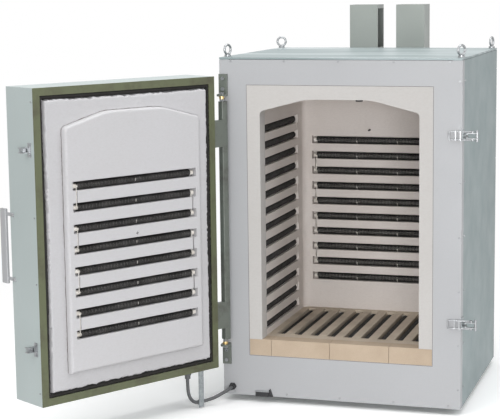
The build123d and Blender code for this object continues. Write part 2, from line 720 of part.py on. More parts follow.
def panel_screws():
    """Heads round the front panel and down both edges of each side panel."""
    heads = []
    outer = HALF_W - SCREW_IN_X
    columns = spread(-outer, outer, TOP_SCREWS)
    on_front = [(x, z) for x in columns for z in (Z0 + SCREW_EDGE, PANEL_TOP - SCREW_EDGE / 2)]
    low, high = Z0 + SCREW_END, PANEL_TOP - SCREW_END
    heights = [low, *spread(low + SCREW_FIRST, high - SCREW_FIRST, SIDE_SCREWS), high]
    edge = HALF_W - SCREW_SIDE_EDGE
    on_front += [(edge, z) for z in heights]
    on_front += [(-edge, z) for z in heights if LUG_LOW_Z < z < BRACKET_UP_Z - BRACKET_H]
    for x, z in on_front:
        heads.append(Pos(x, 0, z) * Rot(90, 0, 0) * hexagon(SCREW, 0, SCREW_H))
    clear_of_latch = [z for z in heights if all(abs(z - at) > LATCH_PLATE_H for at in LATCH_Z)]
    for z in heights:
        for y in (FRONT_RETURN + SEAM + SCREW_EDGE, CAB_D - SCREW_EDGE * 1.5):
            head = Pos(HALF_W, y, z) * Rot(0, 90, 0) * hexagon(SCREW, 0, SCREW_H)
            heads.append(mirrored(head))
            if z in clear_of_latch or y > CAB_D / 2:
                heads.append(head)
    return heads


def cable_glands():
    """Conduit gland on the front and supply gland under the terminal cover."""
    turn = Pos(GLAND_X, 0, GLAND_Z) * Rot(90, 0, 0)
    front = turn * (hexagon(GLAND_D, 0, GLAND_NUT_H) + rod(GLAND_D - 4, GLAND_NUT_H, GLAND_L))
    x, y = COVER_W / 2 - SUPPLY_D, CAB_D + COVER_D / 2
    supply = rod(SUPPLY_D, COVER_Z0 - SUPPLY_L, COVER_Z0 + COVER_SHEET, x, y)
    supply -= rod(SUPPLY_D / 2, COVER_Z0 - SUPPLY_L - 1, COVER_Z0 + SUPPLY_L, x, y)
    return [front, supply]


def door_switch():
    """Switch box at the foot of the front panel with a three-cornered cam beside it."""
    x0, x1 = SWITCH_X - SWITCH_W / 2, SWITCH_X + SWITCH_W / 2
    case = block(x0, x1, -SWITCH_D, 0, Z0, Z0 + SWITCH_H)
    case = fillet(case.edges().filter_by(Axis.Z).group_by(Axis.Y)[0], 3)
    corners = [(x1, Z0), (x1 + CAM_W, Z0), (x1 + CAM_W / 3, Z0 + CAM_H), (x1, Z0 + CAM_H * 0.8)]
    cam = along_y(Polygon(*corners, align=None), -CAM_T, 0)
    return [case, cam]


# Hinge


def bracket(z_tongue, up):
    """Plate on the front panel with a tongue that carries a pivot; up is 1 for the upper one."""
    x0, x1 = HINGE_X - BRACKET_W / 2, HINGE_X + BRACKET_W / 2
    z1 = z_tongue + up * BRACKET_T
    tongue = block(x0, x1, -BRACKET_TONGUE, 0, z_tongue, z1)
    front = tongue.edges().filter_by(Axis.Z).group_by(Axis.Y)[0]
    tongue = fillet(front, BRACKET_W / 3)
    plate = block(x0, x1, -BRACKET_T, 0, z_tongue, z_tongue + up * BRACKET_H)
    return tongue + plate - rod(PIVOT_D, min(z_tongue, z1) - 1, max(z_tongue, z1) + 1, HINGE_X, HINGE_Y)


def hinge_brackets():
    return [bracket(BRACKET_UP_Z, 1), bracket(BRACKET_LOW_Z, -1)]


def pivot_set(z_tongue, up):
    """Pivot bolt with its head and nut, and the two washers on it, all up or all down."""
    washers = []
    for i in range(2):
        z = sorted((z_tongue - up * WASHER_H * i, z_tongue - up * WASHER_H * (i + 1)))
        ring = rod(WASHER_D - 2 * i, *z, HINGE_X, HINGE_Y)
        washers.append(ring - rod(PIVOT_D, z[0] - 1, z[1] + 1, HINGE_X, HINGE_Y))
    z_nut = z_tongue - up * 2 * WASHER_H
    z_bar = z_nut - up * PIVOT_NUT_H
    z_head = z_tongue + up * BRACKET_T
    head = hexagon(PIVOT_NUT, *sorted((z_head, z_head + up * PIVOT_D * 0.65)), HINGE_X, HINGE_Y)
    nut = hexagon(PIVOT_NUT, *sorted((z_nut, z_bar)), HINGE_X, HINGE_Y)
    tip = z_bar - up * PIVOT_DEPTH
    bolt = head + nut + rod(PIVOT_D, *sorted((z_head, tip)), HINGE_X, HINGE_Y)
    return bolt, washers


def bracket_bolts():
    """Two fixing bolts on each bracket plate."""
    made = []
    for z_tongue, up in ((BRACKET_UP_Z, 1), (BRACKET_LOW_Z, -1)):
        for share in (0.32, 0.8):
            place = Pos(HINGE_X, -BRACKET_T, z_tongue + up * BRACKET_H * share)
            made.append(place * Rot(90, 0, 0) * hexagon(BRACKET_BOLT, 0, BRACKET_BOLT / 2))
    return made


def hinge_bar():
    """Square tube with solid ends, bored for the pivots."""
    x, half = HINGE_X - HINGE_BAR_OFFSET, HINGE_BAR / 2
    bar = block(x - half, x + half, HINGE_Y - half, HINGE_Y + half, BAR_Z0, BAR_Z1)
    bar = chamfer(bar.edges().filter_by(Axis.Z), 2)
    inner = half - HINGE_BAR_WALL
    hollow = block(x - inner, x + inner, HINGE_Y - inner, HINGE_Y + inner,
                   BAR_Z0 + HINGE_BAR_PLUG, BAR_Z1 - HINGE_BAR_PLUG)
    bar -= hollow
    bore = PIVOT_D + 2 * PIVOT_FIT
    bar -= rod(bore, BAR_Z0 - 1, BAR_Z0 + PIVOT_DEPTH + 2, HINGE_X, HINGE_Y)
    return bar - rod(bore, BAR_Z1 - PIVOT_DEPTH - 2, BAR_Z1 + 1, HINGE_X, HINGE_Y)


def hinge_lugs():
    """Plates that tie the hinge bar to the door's edge."""
    x0 = HINGE_X - HINGE_BAR_OFFSET + HINGE_BAR / 2
    y1 = DOOR_Y1 - LUG_DROP
    return [block(x0, DOOR_X0, y1 - LUG_T, y1, z, z + LUG_H) for z in (LUG_UP_Z, LUG_LOW_Z)]


# Door, drawn shut


def door_casing():
    shell = block(DOOR_X0, DOOR_X1, DOOR_Y0, DOOR_Y1 - RIM_T, DOOR_Z0, DOOR_Z1)
    t = DOOR_SHEET
    return shell - block(DOOR_X0 + t, DOOR_X1 - t, DOOR_Y0 + t, DOOR_Y1, DOOR_Z0 + t, DOOR_Z1 - t)


def door_rim():
    """Flat frame round the door's inner side."""
    frame = block(DOOR_X0, DOOR_X1, DOOR_Y1 - RIM_T, DOOR_Y1, DOOR_Z0, DOOR_Z1)
    return frame - block(DOOR_X0 + RIM_W, DOOR_X1 - RIM_W, DOOR_Y0, 0, DOOR_Z0 + RIM_W, DOOR_Z1 - RIM_W)


def door_insulation():
    t = DOOR_SHEET
    return block(DOOR_X0 + t, DOOR_X1 - t, DOOR_Y0 + t, LINING_Y - LINING_T, DOOR_Z0 + t, DOOR_Z1 - t)


def plug_outline():
    return arch(PLUG_X, SILL_Z + PLUG_GAP, PLUG_GAP)


def door_lining():
    """Fibre slab set back from the rim, with a pocket for the plug."""
    i = LINING_INSET
    slab = block(DOOR_X0 + i, DOOR_X1 - i, LINING_Y - LINING_T, LINING_Y, DOOR_Z0 + i, DOOR_Z1 - i)
    return slab - along_y(plug_outline(), PLUG_Y - PLUG_T, LINING_Y + 1)


def door_plug():
    """Arched brick plug that fills the mouth, with its grooves, tubes and coils."""
    body = along_y(plug_outline(), PLUG_Y - PLUG_T, PLUG_Y)
    body = fillet(body.faces().sort_by(Axis.Y)[-1].edges(), PLUG_EDGE_R)
    peep = Pos(0, PLUG_Y, SPRING_Z - PEEP_DROP) * Rot(90, 0, 0) * Cylinder(PEEP_D / 2, PLUG_T)
    body -= peep
    rows = rows_down(SPRING_Z - DOOR_TOP_ROW, SILL_Z + DOOR_LAST_ROW, DOOR_PITCH)
    frames = [facing_door(0, z) for z in rows]
    return heated_wall(body, frames, 2 * (PLUG_X - DOOR_GROOVE_X), DOOR_PITCH, 1, 1, 1)


def door_handle():
    """Flat grip that stands off the door's outer face, on two arms screwed to its free side."""
    y1 = DOOR_Y0 - GRIP_GAP
    z0, z1 = GRIP_Z - GRIP_L / 2, GRIP_Z + GRIP_L / 2
    grip = block(DOOR_X1, DOOR_X1 + GRIP_T, y1 - GRIP_W, y1, z0, z1)
    grip = fillet(grip.edges().filter_by(Axis.Z), GRIP_T / 3)
    for z in (z0 + ARM_INSET, z1 - ARM_INSET - ARM_H):
        grip += block(DOOR_X1, DOOR_X1 + ARM_T, y1 - GRIP_W / 2, DOOR_Y0 + ARM_LAP, z, z + ARM_H)
    return grip


def keeper(z):
    """Hooked bracket on the door's free side that the latch's bail pulls on."""
    y = DOOR_Y1
    plate = block(DOOR_X1, DOOR_X1 + KEEPER_T, y - KEEPER_START - KEEPER_L, y - KEEPER_START,
                  z - KEEPER_H / 2, z + KEEPER_H / 2)
    x1 = DOOR_X1 + CHEEK_REACH
    y0, y1 = y - CHEEK_END, y - CHEEK_START
    for side in (-1, 1):
        z_in, z_out = z + side * (CHEEK_OUT - CHEEK_T), z + side * CHEEK_OUT
        plate += block(DOOR_X1, x1, y0, y1, *sorted((z_in, z_out)))
        plate += block(x1 - NOSE_W, x1, y0 - NOSE_L, y0, *sorted((z_in, z_out)))
    return plate + block(DOOR_X1, x1, y0, y0 + KEEPER_T, z - CHEEK_OUT, z + CHEEK_OUT)


def door_screws():
    """Heads on the keepers, the handle's arms and the casing's free side."""
    places = []
    for z in LATCH_Z:
        y = DOOR_Y1 - KEEPER_START - KEEPER_L * 0.4
        places += [(DOOR_X1 + KEEPER_T, y, z + dz) for dz in (-21, -14, 14, 21)]
    for z in (DOOR_Z0 + DOOR_SCREW_END, GRIP_Z - DOOR_SCREW_GRIP, GRIP_Z + DOOR_SCREW_GRIP, DOOR_Z1 - DOOR_SCREW_END):
        places.append((DOOR_X1, DOOR_Y1 - DOOR_SCREW_IN, z))
    for z in (GRIP_Z - GRIP_L / 2 + ARM_INSET, GRIP_Z + GRIP_L / 2 - ARM_INSET - ARM_H):
        places.append((DOOR_X1 + ARM_T, DOOR_Y0 + ARM_LAP / 2, z + ARM_H / 2))
    turned = [Pos(*place) * Rot(0, 90, 0) for place in places]
    return [turn * hexagon(SCREW * 0.8, 0, SCREW_H) for turn in turned]


def conduit_strap():
    """Strap that hangs from the door and ends in a clip round the conduit."""
    x = DOOR_X0 + CLIP_ALONG
    y1 = DOOR_Y1 - STRAP_BACK
    clip_in = CONDUIT_D / 2 + CLIP_FIT
    clip_out = clip_in + CLIP_T
    foot = block(x - STRAP_W / 2, x + STRAP_W / 2, y1 - STRAP_FOOT, y1, DOOR_Z0 - STRAP_T, DOOR_Z0)
    strap = block(x - STRAP_W / 2, x + STRAP_W / 2, y1 - STRAP_T, y1, STRAP_END, DOOR_Z0)
    turn = Pos(x, CONDUIT_Y, CLIP_Z) * Rot(0, 90, 0)
    return foot + strap + turn * Cylinder(clip_out, CLIP_L) - turn * Cylinder(clip_in, 2 * CLIP_L)


def door_gland():
    x = DOOR_X0 + EXIT_ALONG
    body = hexagon(GLAND_D, DOOR_Z0 - GLAND_NUT_H, DOOR_Z0, x, CONDUIT_Y)
    return body + rod(GLAND_D - 4, DOOR_Z0 - GLAND_L, DOOR_Z0 - GLAND_NUT_H, x, CONDUIT_Y)


# Conduit, drawn with the door open


def opened(solid):
    """A piece of the door, turned from shut to open about the hinge axis."""
    return Pos(HINGE_X, HINGE_Y) * Rot(0, 0, -DOOR_OPEN) * Pos(-HINGE_X, -HINGE_Y) * solid


def on_open_door(along, z):
    """A point on the conduit's line under the open door, along it from its hinge edge."""
    point = opened(Pos(DOOR_X0 + along, CONDUIT_Y, z)).position
    return point.X, point.Y, point.Z


def conduit_route():
    """From the cabinet's gland, through the clip, up into the door's gland."""
    return [
        (GLAND_X, -GLAND_L, GLAND_Z),
        (GLAND_X, -GLAND_L - 28, GLAND_Z),
        (GLAND_X - 17, -GLAND_L - 58, GLAND_Z - 9),
        (GLAND_X - 47, -GLAND_L - 78, GLAND_Z - 26),
        on_open_door(CLIP_ALONG - 24, CLIP_Z),
        on_open_door(CLIP_ALONG + 17.5, CLIP_Z),
        on_open_door(EXIT_ALONG - 17, CLIP_Z + 15),
        on_open_door(EXIT_ALONG - 3.5, CLIP_Z + 42),
        on_open_door(EXIT_ALONG, CLIP_Z + 73.5),
        on_open_door(EXIT_ALONG, DOOR_Z0 - GLAND_L),
    ]


def bend_radii(points):
    """The largest bend that each corner's two runs allow."""
    radii = []
    for a, b, c in zip(points, points[1:], points[2:]):
        into, out = Vector(*b) - Vector(*a), Vector(*c) - Vector(*b)
        half_turn = math.radians(into.get_angle(out)) / 2
        radii.append(BEND_SHARE * min(into.length, out.length) / math.tan(half_turn))
    return radii


def conduit():
    points = conduit_route()
    radii = bend_radii(points)
    path = FilletPolyline(*points, radius=radii)
    start = Plane(origin=path @ 0, z_dir=path % 0)
    tube = sweep(start * Circle(CONDUIT_D / 2), path=path)
    drawn = math.pi * (CONDUIT_D / 2) ** 2 * path.length
    print("conduit length", round(path.length, 1), "radii", [round(r, 1) for r in radii])
    print("conduit volume over section times length", round(tube.volume / drawn, 4))
    return tube


# Toggle latches, drawn open


def latch_base(z):
    """Plate on the side panel with two ears that reach forward to the lever's pivot."""
    x0, x1 = HALF_W, HALF_W + LATCH_PLATE_T
    y0, y1 = LATCH_PLATE_Y, LATCH_PLATE_Y + LATCH_PLATE_L
    base = block(x0, x1, y0, y1, z - LATCH_PLATE_H / 2, z + LATCH_PLATE_H / 2)
    reach = LEVER_W / 2
    tip_x, tip_y = LATCH_X, LATCH_Y
    outline = [(x1, y1 - 10), (x1, y0 - 2), (tip_x - reach, tip_y - 4), (tip_x - reach / 2, tip_y - reach),
               (tip_x + reach / 2, tip_y - reach), (tip_x + reach, tip_y), (tip_x, tip_y + reach * 1.8)]
    face = Polygon(*outline, align=None) - Pos(tip_x, tip_y) * Circle(LATCH_PIN_D / 2)
    for side in (-1, 1):
        base += along_z(face, *sorted((z + side * EAR_GAP / 2, z + side * EAR_OUT)))
    return base


def latch_pivot_pin(z):
    return rod(LATCH_PIN_D, z - LEVER_OUT, z + LEVER_OUT, LATCH_X, LATCH_Y)


def latch_lever(z):
    """Two cheeks and a round grip; the cheeks turn on the base's pin."""
    bar = Pos(LATCH_X + LEVER_L / 2, LATCH_Y) * SlotCenterToCenter(LEVER_L, LEVER_W)
    bar -= Pos(LATCH_X, LATCH_Y) * Circle(LATCH_PIN_D / 2 + PIN_FIT)
    bar -= Pos(LATCH_X + LINK_R, LATCH_Y) * Circle(LATCH_PIN_D / 2)
    lever = rod(LEVER_GRIP_D, z - LEVER_GRIP_H / 2, z + LEVER_GRIP_H / 2, LATCH_X + LEVER_L, LATCH_Y)
    for side in (-1, 1):
        lever += along_z(bar, *sorted((z + side * LEVER_IN, z + side * LEVER_OUT)))
    return lever


def latch_link_pins(z):
    """Stubs on the outside of the lever's cheeks for the bail's eyes."""
    x, z_out = LATCH_X + LINK_R, BAIL_Z + BAIL_EYE_H / 2
    return [rod(LATCH_PIN_D, *sorted((z + s * LEVER_IN, z + s * z_out)), x, LATCH_Y) for s in (-1, 1)]


def latch_bail(z):
    """Two rods from eyes on the lever to a hook bar, held apart by two yokes."""
    bail = rod(BAIL_BAR_D, -BAIL_BAR_L / 2, BAIL_BAR_L / 2, -BAIL_L)
    for at in YOKE_AT:
        x, half = at - BAIL_L, BAIL_Z + YOKE_T
        bail += block(x - YOKE_T / 2, x + YOKE_T / 2, -YOKE_W / 2, YOKE_W / 2, -half, half)
    for side in (-1, 1):
        eye = rod(BAIL_EYE_D, side * BAIL_Z - BAIL_EYE_H / 2, side * BAIL_Z + BAIL_EYE_H / 2)
        wire = Pos(-BAIL_L / 2, 0, side * BAIL_Z) * Rot(0, 90, 0) * Cylinder(BAIL_WIRE / 2, BAIL_L)
        bail += eye + wire
        hole = LATCH_PIN_D + 2 * PIN_FIT
        bail -= rod(hole, side * BAIL_Z - BAIL_EYE_H, side * BAIL_Z + BAIL_EYE_H)
    return Pos(LATCH_X + LINK_R, LATCH_Y, z) * Rot(0, 0, BAIL_REST) * bail


def cabinet_nodes():
    lining = chamber()
    upper_bolt, upper_washers = pivot_set(BRACKET_UP_Z, 1)
    lower_bolt, lower_washers = pivot_set(BRACKET_LOW_Z, -1)
    nodes = {
        "feet": feet(),
        "bottom_pan": [bottom_pan()],
        "corner_posts": corner_posts(),
        "front_panel": [front_panel()],
        "side_panel_right": [side_panel()],
        "side_panel_left": [mirrored(side_panel())],
        "rear_panel": [rear_panel()],
        "roof_panel": [roof_panel()],
        "mouth_collar": [mouth_collar()],
        "sill_bricks": sill_bricks(),
        "front_insulation": front_insulation(),
        "backing_insulation": backing_insulation(),
        "vault_bricks": [vault_bricks()],
        "flue_sleeve": [flue_sleeve()],
        "thermocouple": [thermocouple()],
        "terminal_strips": terminal_strips(),
        "terminal_cover": terminal_cover(),
        "rear_duct_left": [rear_duct(-1)],
        "rear_duct_right": [rear_duct(1)],
        "lifting_eyebolts": lifting_eyebolts(),
        "panel_screws": panel_screws(),
        "cable_glands": cable_glands(),
        "door_switch": door_switch(),
        "hinge_brackets": hinge_brackets(),
        "bracket_bolts": bracket_bolts(),
        "pivot_bolts": [upper_bolt, lower_bolt],
        "pivot_washers": upper_washers + lower_washers,
        "conduit": [conduit()],
        "latch_bases": [latch_base(z) for z in LATCH_Z],
        "latch_pivot_pins": [latch_pivot_pin(z) for z in LATCH_Z],
    }
    tubes = []
    for name, (body, row_tubes, row_coils) in lining.items():
        nodes[f"{name}_bricks"] = [body]
        nodes[f"{name}_coils"] = row_coils
        tubes += row_tubes
    nodes["rear_wall_bricks"] += [cove(), mirrored(cove())]
    nodes["coil_tubes"] = tubes
    return nodes


def door_nodes():
    plug, tubes, coils = door_plug()
    return {
        "door_casing": [door_casing()],
        "door_rim": [door_rim()],
        "door_insulation": [door_insulation()],
        "door_lining": [door_lining()],
        "door_plug": [plug],
        "door_coils": coils,
        "door_coil_tubes": tubes,
        "door_handle": [door_handle()],
        "door_screws": door_screws(),
        "keepers": [keeper(z) for z in LATCH_Z],
        "hinge_bar": [hinge_bar()],
        "hinge_lugs": hinge_lugs(),
        "conduit_strap": [conduit_strap()],
        "door_gland": [door_gland()],
    }


def latch_nodes():
    nodes = {}
    for place, z in zip(("upper", "lower"), LATCH_Z):
        nodes[f"latch_lever_{place}"] = [latch_lever(z)]
        nodes[f"latch_link_pins_{place}"] = latch_link_pins(z)
        nodes[f"latch_bail_{place}"] = [latch_bail(z)]
    return nodes


def furnace():
    """Every node as a list of solids, with the door open."""
    nodes = cabinet_nodes()
    for name, solids in door_nodes().items():
        nodes[name] = [opened(solid) for solid in solids]
    return nodes | latch_nodes()


def main():
    os.makedirs("parts", exist_ok=True)
    nodes = furnace()
    shapes = {}
    for name, solids in nodes.items():
        whole = [piece for shape in solids for piece in shape.solids()]
        shapes[name] = whole[0] if len(whole) == 1 else Compound(whole)
    box = Compound(list(shapes.values())).bounding_box()
    middle = box.center()
    origin = Pos(-middle.X, -middle.Y, -box.min.Z)
    for name, shape in shapes.items():
        export_step(origin * shape, f"parts/{name}.step")
    print("nodes", len(shapes), "size", [round(v, 1) for v in (box.size.X, box.size.Y, box.size.Z)])
    print("shift", round(-middle.X, 3), round(-middle.Y, 3), round(-box.min.Z, 3))
    print("hinge", HINGE_X, HINGE_Y, "lever", LATCH_X, LATCH_Y, "bail", LATCH_X + LINK_R, LATCH_Y)
    closed = math.degrees(math.atan2(CATCH_Y - LATCH_Y - LINK_R, CATCH_X - LATCH_X)) % 360
    print("bail turn when latched", round(closed - LEVER_SWING - 180 - BAIL_REST, 3))


main()
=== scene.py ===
"""Looks of a front-loading muffle furnace: paint, firebrick, fibre, coils, conduit and light.

Places are worked out in millimetres from the middle of the cabinet's front edge on the floor, as
the cabinet is drawn, and turned into the frame's metres by at().
"""

import json
import math
from collections import namedtuple

import bmesh
import bpy
from mathutils import Matrix, Vector, noise


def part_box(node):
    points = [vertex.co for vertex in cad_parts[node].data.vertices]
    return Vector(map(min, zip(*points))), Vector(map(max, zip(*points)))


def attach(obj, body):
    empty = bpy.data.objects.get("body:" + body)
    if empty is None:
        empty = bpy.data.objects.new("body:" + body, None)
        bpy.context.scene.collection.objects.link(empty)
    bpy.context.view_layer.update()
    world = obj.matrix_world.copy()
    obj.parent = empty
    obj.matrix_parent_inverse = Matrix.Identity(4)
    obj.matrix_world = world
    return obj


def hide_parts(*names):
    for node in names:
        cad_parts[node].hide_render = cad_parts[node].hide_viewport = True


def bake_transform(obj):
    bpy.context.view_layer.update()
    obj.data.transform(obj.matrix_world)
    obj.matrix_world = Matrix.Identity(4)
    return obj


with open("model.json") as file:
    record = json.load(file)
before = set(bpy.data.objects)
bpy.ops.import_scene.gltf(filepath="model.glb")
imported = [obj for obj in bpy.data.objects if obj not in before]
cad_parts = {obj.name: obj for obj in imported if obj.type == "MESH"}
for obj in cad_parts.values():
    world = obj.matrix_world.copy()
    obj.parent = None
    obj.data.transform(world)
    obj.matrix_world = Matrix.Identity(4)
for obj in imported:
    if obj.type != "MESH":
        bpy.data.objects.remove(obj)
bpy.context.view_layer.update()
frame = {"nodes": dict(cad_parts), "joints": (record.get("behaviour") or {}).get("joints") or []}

MM = 0.001

# Lengths are in millimetres, unless a comment says otherwise.

# Switch box at the foot of the front panel
SWITCH_W = 54.0
SWITCH_H = 18.0

# Bright zinc strip over its top, a painted highlight of the box's lit top face
STRIP_T = 1.5
STRIP_ABOVE = 2.5  # in thicknesses of the strip
STRIP_BELOW = 0.2
STRIP_EDGE = 0.4
STRIP_BACK = 0.1  # short of the front panel

# Door, drawn shut and turned open about its hinge
HINGE = (-454.0, -24.0)
DOOR_W = 817.0
DOOR_H = 1132.0
DOOR_X0 = -402.0
DOOR_Z0 = 150.0
DOOR_INNER_Y = -5.0
LINING_Y = -1.0
RIM_W = 28.0
LINING_INSET = 42.0

# Felted lining of the door. Its edge is given from the back forwards, as how far in it lies,
# how high it stands, and how much of the tearing it takes.
LINING_DIRECTIONS = 720
LINING_STEPS = 16
LINING_EDGE = (
    (0.0, -26.0, 0.4), (0.0, -9.0, 1.0), (1.5, -3.0, 0.9), (5.0, -0.6, 0.6), (12.0, 0.0, 0.3))
LINING_FOOT = -14.0
LINING_RISE = 1.0
TORN_IN = 4.5

# Layers of unevenness: how fine, seed, and how far it wanders
TORN = ((1.0, 3.0, 9.0), (2.5, 41.0, 3.0))
SWOLLEN = ((0.5, 11.0, 1.3), (2, 5.0, 0.5))

# Near-black ragged packing between the rim and the lining: how far in it lies and how high it
# stands
PACKING_PROFILE = (
    (-1.0, -16.0), (0.8, -8.0), (4.0, -6.5), (8.0, -6.0), (12.0, -7.0), (16.0, -12.0))
PACKING_LIFT = 4.0
PACKING_SLIP = 0.5
RAGGED = (2, 17.0, 3.0)
SLIPPED = (1.0, 29.0, 2.0)

# Dark strip of painted shade in the crack between the lining and the plug, at its narrowest a
# quarter of its full width
SEAM_W = 1.6
SEAM_SHUT = 0.25
SEAM_OPEN = 0.8
SEAM_WANDER = (1.0, 53.0, 2.4)
SEAM_STEP = 4
SEAM_OVERLAP = 0.2
SEAM_PROFILE = ((0.0, -1.0), (0.5, 1.6), (1.0, -1.0))

# Dark strip of painted shade in the joint round the mouth: how far out it lies and how proud it
# stands
JOINT_SHADE_PROFILE = ((0.2, -1.0), (0.6, 0.3), (2.0, 0.3), (2.4, -1.0))

# Refractory mouth
MOUTH_HALF = 310.0
SILL_Z = 252.0
SPRING_Z = 1145.0
CROWN_Z = 1192.0
CROWN_HALF = 125.0
CROWN_R = 240.0
HAUNCH_R = 18.0
PLUG_GAP = 5.0
ARC_STEPS = 8

# Heating coils
COIL_R = 14.5
WIRE_R = 1.9
WIRE_PITCH = 4.5
WIRE_SIDES = 5
TURN_STEPS = 11

# Sleeved leads between the rows, and their slots, with a dark sheet of painted shade at the back
# of each slot
LEAD_R = 1.7
LEAD_OUT = 4.0
LEAD_IN = 5
LEAD_FORWARD = 10.5
LEAD_BEND = 3.2
LEAD_BEND_STEPS = 4
LEAD_SIDES = 8
SLOT_W = 6.8
SLOT_BACK = 2.4
SLOT_FLOOR_T = 0.4

# Conduit from the front panel to the door
CONDUIT_R = 7.0
CONDUIT_SIDES = 18
CONDUIT_RIB = 0.4
CONDUIT_RIB_PITCH = 4.0
RIB_STEPS = 4
CONDUIT_GLAND = (-433.0, -22.0, 57.0)
CONDUIT_LINE_Y = -24.3
CLIP_ALONG = 82.5
CLIP_Z = 23.0
EXIT_ALONG = 142.0
EXIT_Z = 128.0
FROM_GLAND = ((0, 0, 0), (0, -28, 0), (-17, -58, -9), (-47, -78, -26))
UNDER_DOOR = (
    (CLIP_ALONG - 24, CLIP_Z), (CLIP_ALONG + 17.5, CLIP_Z), (EXIT_ALONG - 17, CLIP_Z + 15),
    (EXIT_ALONG - 3.5, CLIP_Z + 42), (EXIT_ALONG, CLIP_Z + 73.5), (EXIT_ALONG, EXIT_Z))
ROUTE_STEPS = 14

# Camera, solved from the corners of the cabinet and the door. Angles are in radians.
IMAGE_W = 500
IMAGE_H = 419
SENSOR_W = 36.0
CAMERA_AT = (1406.9, -5561.4, 1641.8)
CAMERA_YAW = -0.294861
CAMERA_PITCH = -0.144808
CAMERA_ROLL = -0.011172
FOCAL_PX = 1525.57
CENTRE_PX = (267.57, 202.33)
FARTHEST = 100.0  # metres

# Lamps: name, place, target, width and height in metres, power in watts, colour
LAMPS = (
    ("key", (-2400, -4200, 4400), (0, 200, 700), (3.0, 3.0), 120.0, (1, 1, 1)),
    ("front", (1500, -5600, 900), (0, 500, 900), (2.6, 2.2), 210.0, (1, 1, 1)),
    ("side", (4400, -600, 3200), (0, 200, 700), (3.0, 3.0), 75.0, (0.95, 0.98, 1.0)),
    ("top", (200, 400, 4600), (0, 200, 700), (3.5, 3.5), 100.0, (1, 1, 1)),
)
WORLD_LIGHT = 0.5

# Floor, in metres. Near the furnace it takes the shadow, and farther off it glows white.
FLOOR_HALF = 40.0
FLOOR_FADE = (1.2, 3.2)
FLOOR_GLOW = (0.04, 1.0)
FLOOR_TONE = (0.5, 0.5, 0.5)
FLOOR_SEEN = (1.1, 1.1, 1.1)

# Sockets of the colour mix: the amount and the two colours, and the result
MIX_INPUTS = (0, 6, 7)
MIX_RESULT = 2


def corner_of_cabinet():
    """Middle of the cabinet's front edge, on the floor."""
    low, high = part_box("front_panel")
    return Vector(((low[0] + high[0]) / 2, low[1], 0.0))


START = corner_of_cabinet()


def at(x, y, z):
    """A place on the cabinet, in the frame's metres."""
    return START + Vector((x, y, z)) * MM


def door_turn():
    """Turns the shut door open, in the frame's metres."""
    joint = next(j for j in frame["joints"] if j["name"] == "door_swing")
    opening = -math.radians(joint["range_deg"][1])
    pivot = Matrix.Translation(at(*HINGE, 0))
    return pivot @ Matrix.Rotation(opening, 4, "Z") @ pivot.inverted()


OPEN = door_turn()


def on_door(x, y, z):
    """A place on the shut door, moved to where the open door has it."""
    return OPEN @ at(x, y, z)


# Node materials


def step(tree, kind, **values):
    """One shader node. A value that is a socket is linked, any other is set."""
    made = tree.nodes.new("ShaderNode" + kind)
    for name, value in values.items():
        if hasattr(made, name):
            setattr(made, name, value)
            continue
        socket = made.inputs[name.replace("_", " ")]
        if isinstance(value, bpy.types.NodeSocket):
            tree.links.new(value, socket)
        else:
            socket.default_value = value
    return made


def new_material(name):
    """An empty material: its tree, its shader and its coordinates on the object."""
    material = bpy.data.materials.new(name)
    material.use_nodes = True
    tree = material.node_tree
    tree.nodes.clear()
    shader = tree.nodes.new("ShaderNodeBsdfPrincipled")
    output = tree.nodes.new("ShaderNodeOutputMaterial")
    tree.links.new(shader.outputs["BSDF"], output.inputs["Surface"])
    coords = tree.nodes.new("ShaderNodeTexCoord").outputs["Object"]
    return material, tree, shader, coords


def stretched(tree, coords, x, y, z):
    """Coordinates stretched along the axes."""
    return step(tree, "Mapping", Vector=coords, Scale=(x, y, z)).outputs["Vector"]


def cloud(tree, coords, scale, detail=3.0, roughness=0.55, distortion=0.0):
    """Soft noise from 0 to 1."""
    made = step(tree, "TexNoise", Vector=coords, Scale=scale, Detail=detail,
                Roughness=roughness, Distortion=distortion)
    return made.outputs["Fac"]


def cells(tree, coords, scale, feature="F1"):
    """Distance to the nearest of many scattered points."""
    made = step(tree, "TexVoronoi", Vector=coords, Scale=scale, feature=feature)
    return made.outputs["Distance"]


def between(tree, value, low, high, to_low=0.0, to_high=1.0):
    """A value stretched from one range to another, held at its ends."""
    made = step(tree, "MapRange", Value=value, From_Min=low, From_Max=high,
                To_Min=to_low, To_Max=to_high)
    return made.outputs["Result"]


def blended(tree, amount, first, second):
    """Two colours mixed by an amount."""
    made = tree.nodes.new("ShaderNodeMix")
    made.data_type = "RGBA"
    for index, value in zip(MIX_INPUTS, (amount, first, second)):
        if isinstance(value, bpy.types.NodeSocket):
            tree.links.new(value, made.inputs[index])
        else:
            made.inputs[index].default_value = (*value, 1.0)
    return made.outputs[MIX_RESULT]


def combined(tree, operation, first, second):
    """Two values put together by one sum."""
    made = step(tree, "Math", operation=operation)
    tree.links.new(first, made.inputs[0])
    tree.links.new(second, made.inputs[1])
    return made.outputs[0]


def bumped(tree, shader, *layers):
    """Bumps laid over each other: (height, strength, distance in millimetres)."""
    normal = None
    for height, strength, distance in layers:
        bump = step(tree, "Bump", Height=height, Strength=strength, Distance=distance * MM)
        if normal is not None:
            tree.links.new(normal, bump.inputs["Normal"])
        normal = bump.outputs["Normal"]
    tree.links.new(normal, shader.inputs["Normal"])


def shade(tree, shader, color, roughness, metallic=0.0, specular=0.5):
    """Sets the shader's colour, from a socket, and its gloss."""
    tree.links.new(color, shader.inputs["Base Color"])
    if isinstance(roughness, bpy.types.NodeSocket):
        tree.links.new(roughness, shader.inputs["Roughness"])
    else:
        shader.inputs["Roughness"].default_value = roughness
    shader.inputs["Metallic"].default_value = metallic
    shader.inputs["Specular IOR Level"].default_value = specular


def tint(color, amount):
    """A colour made lighter or darker."""
    return tuple(min(1.0, max(0.0, c * amount)) for c in color)


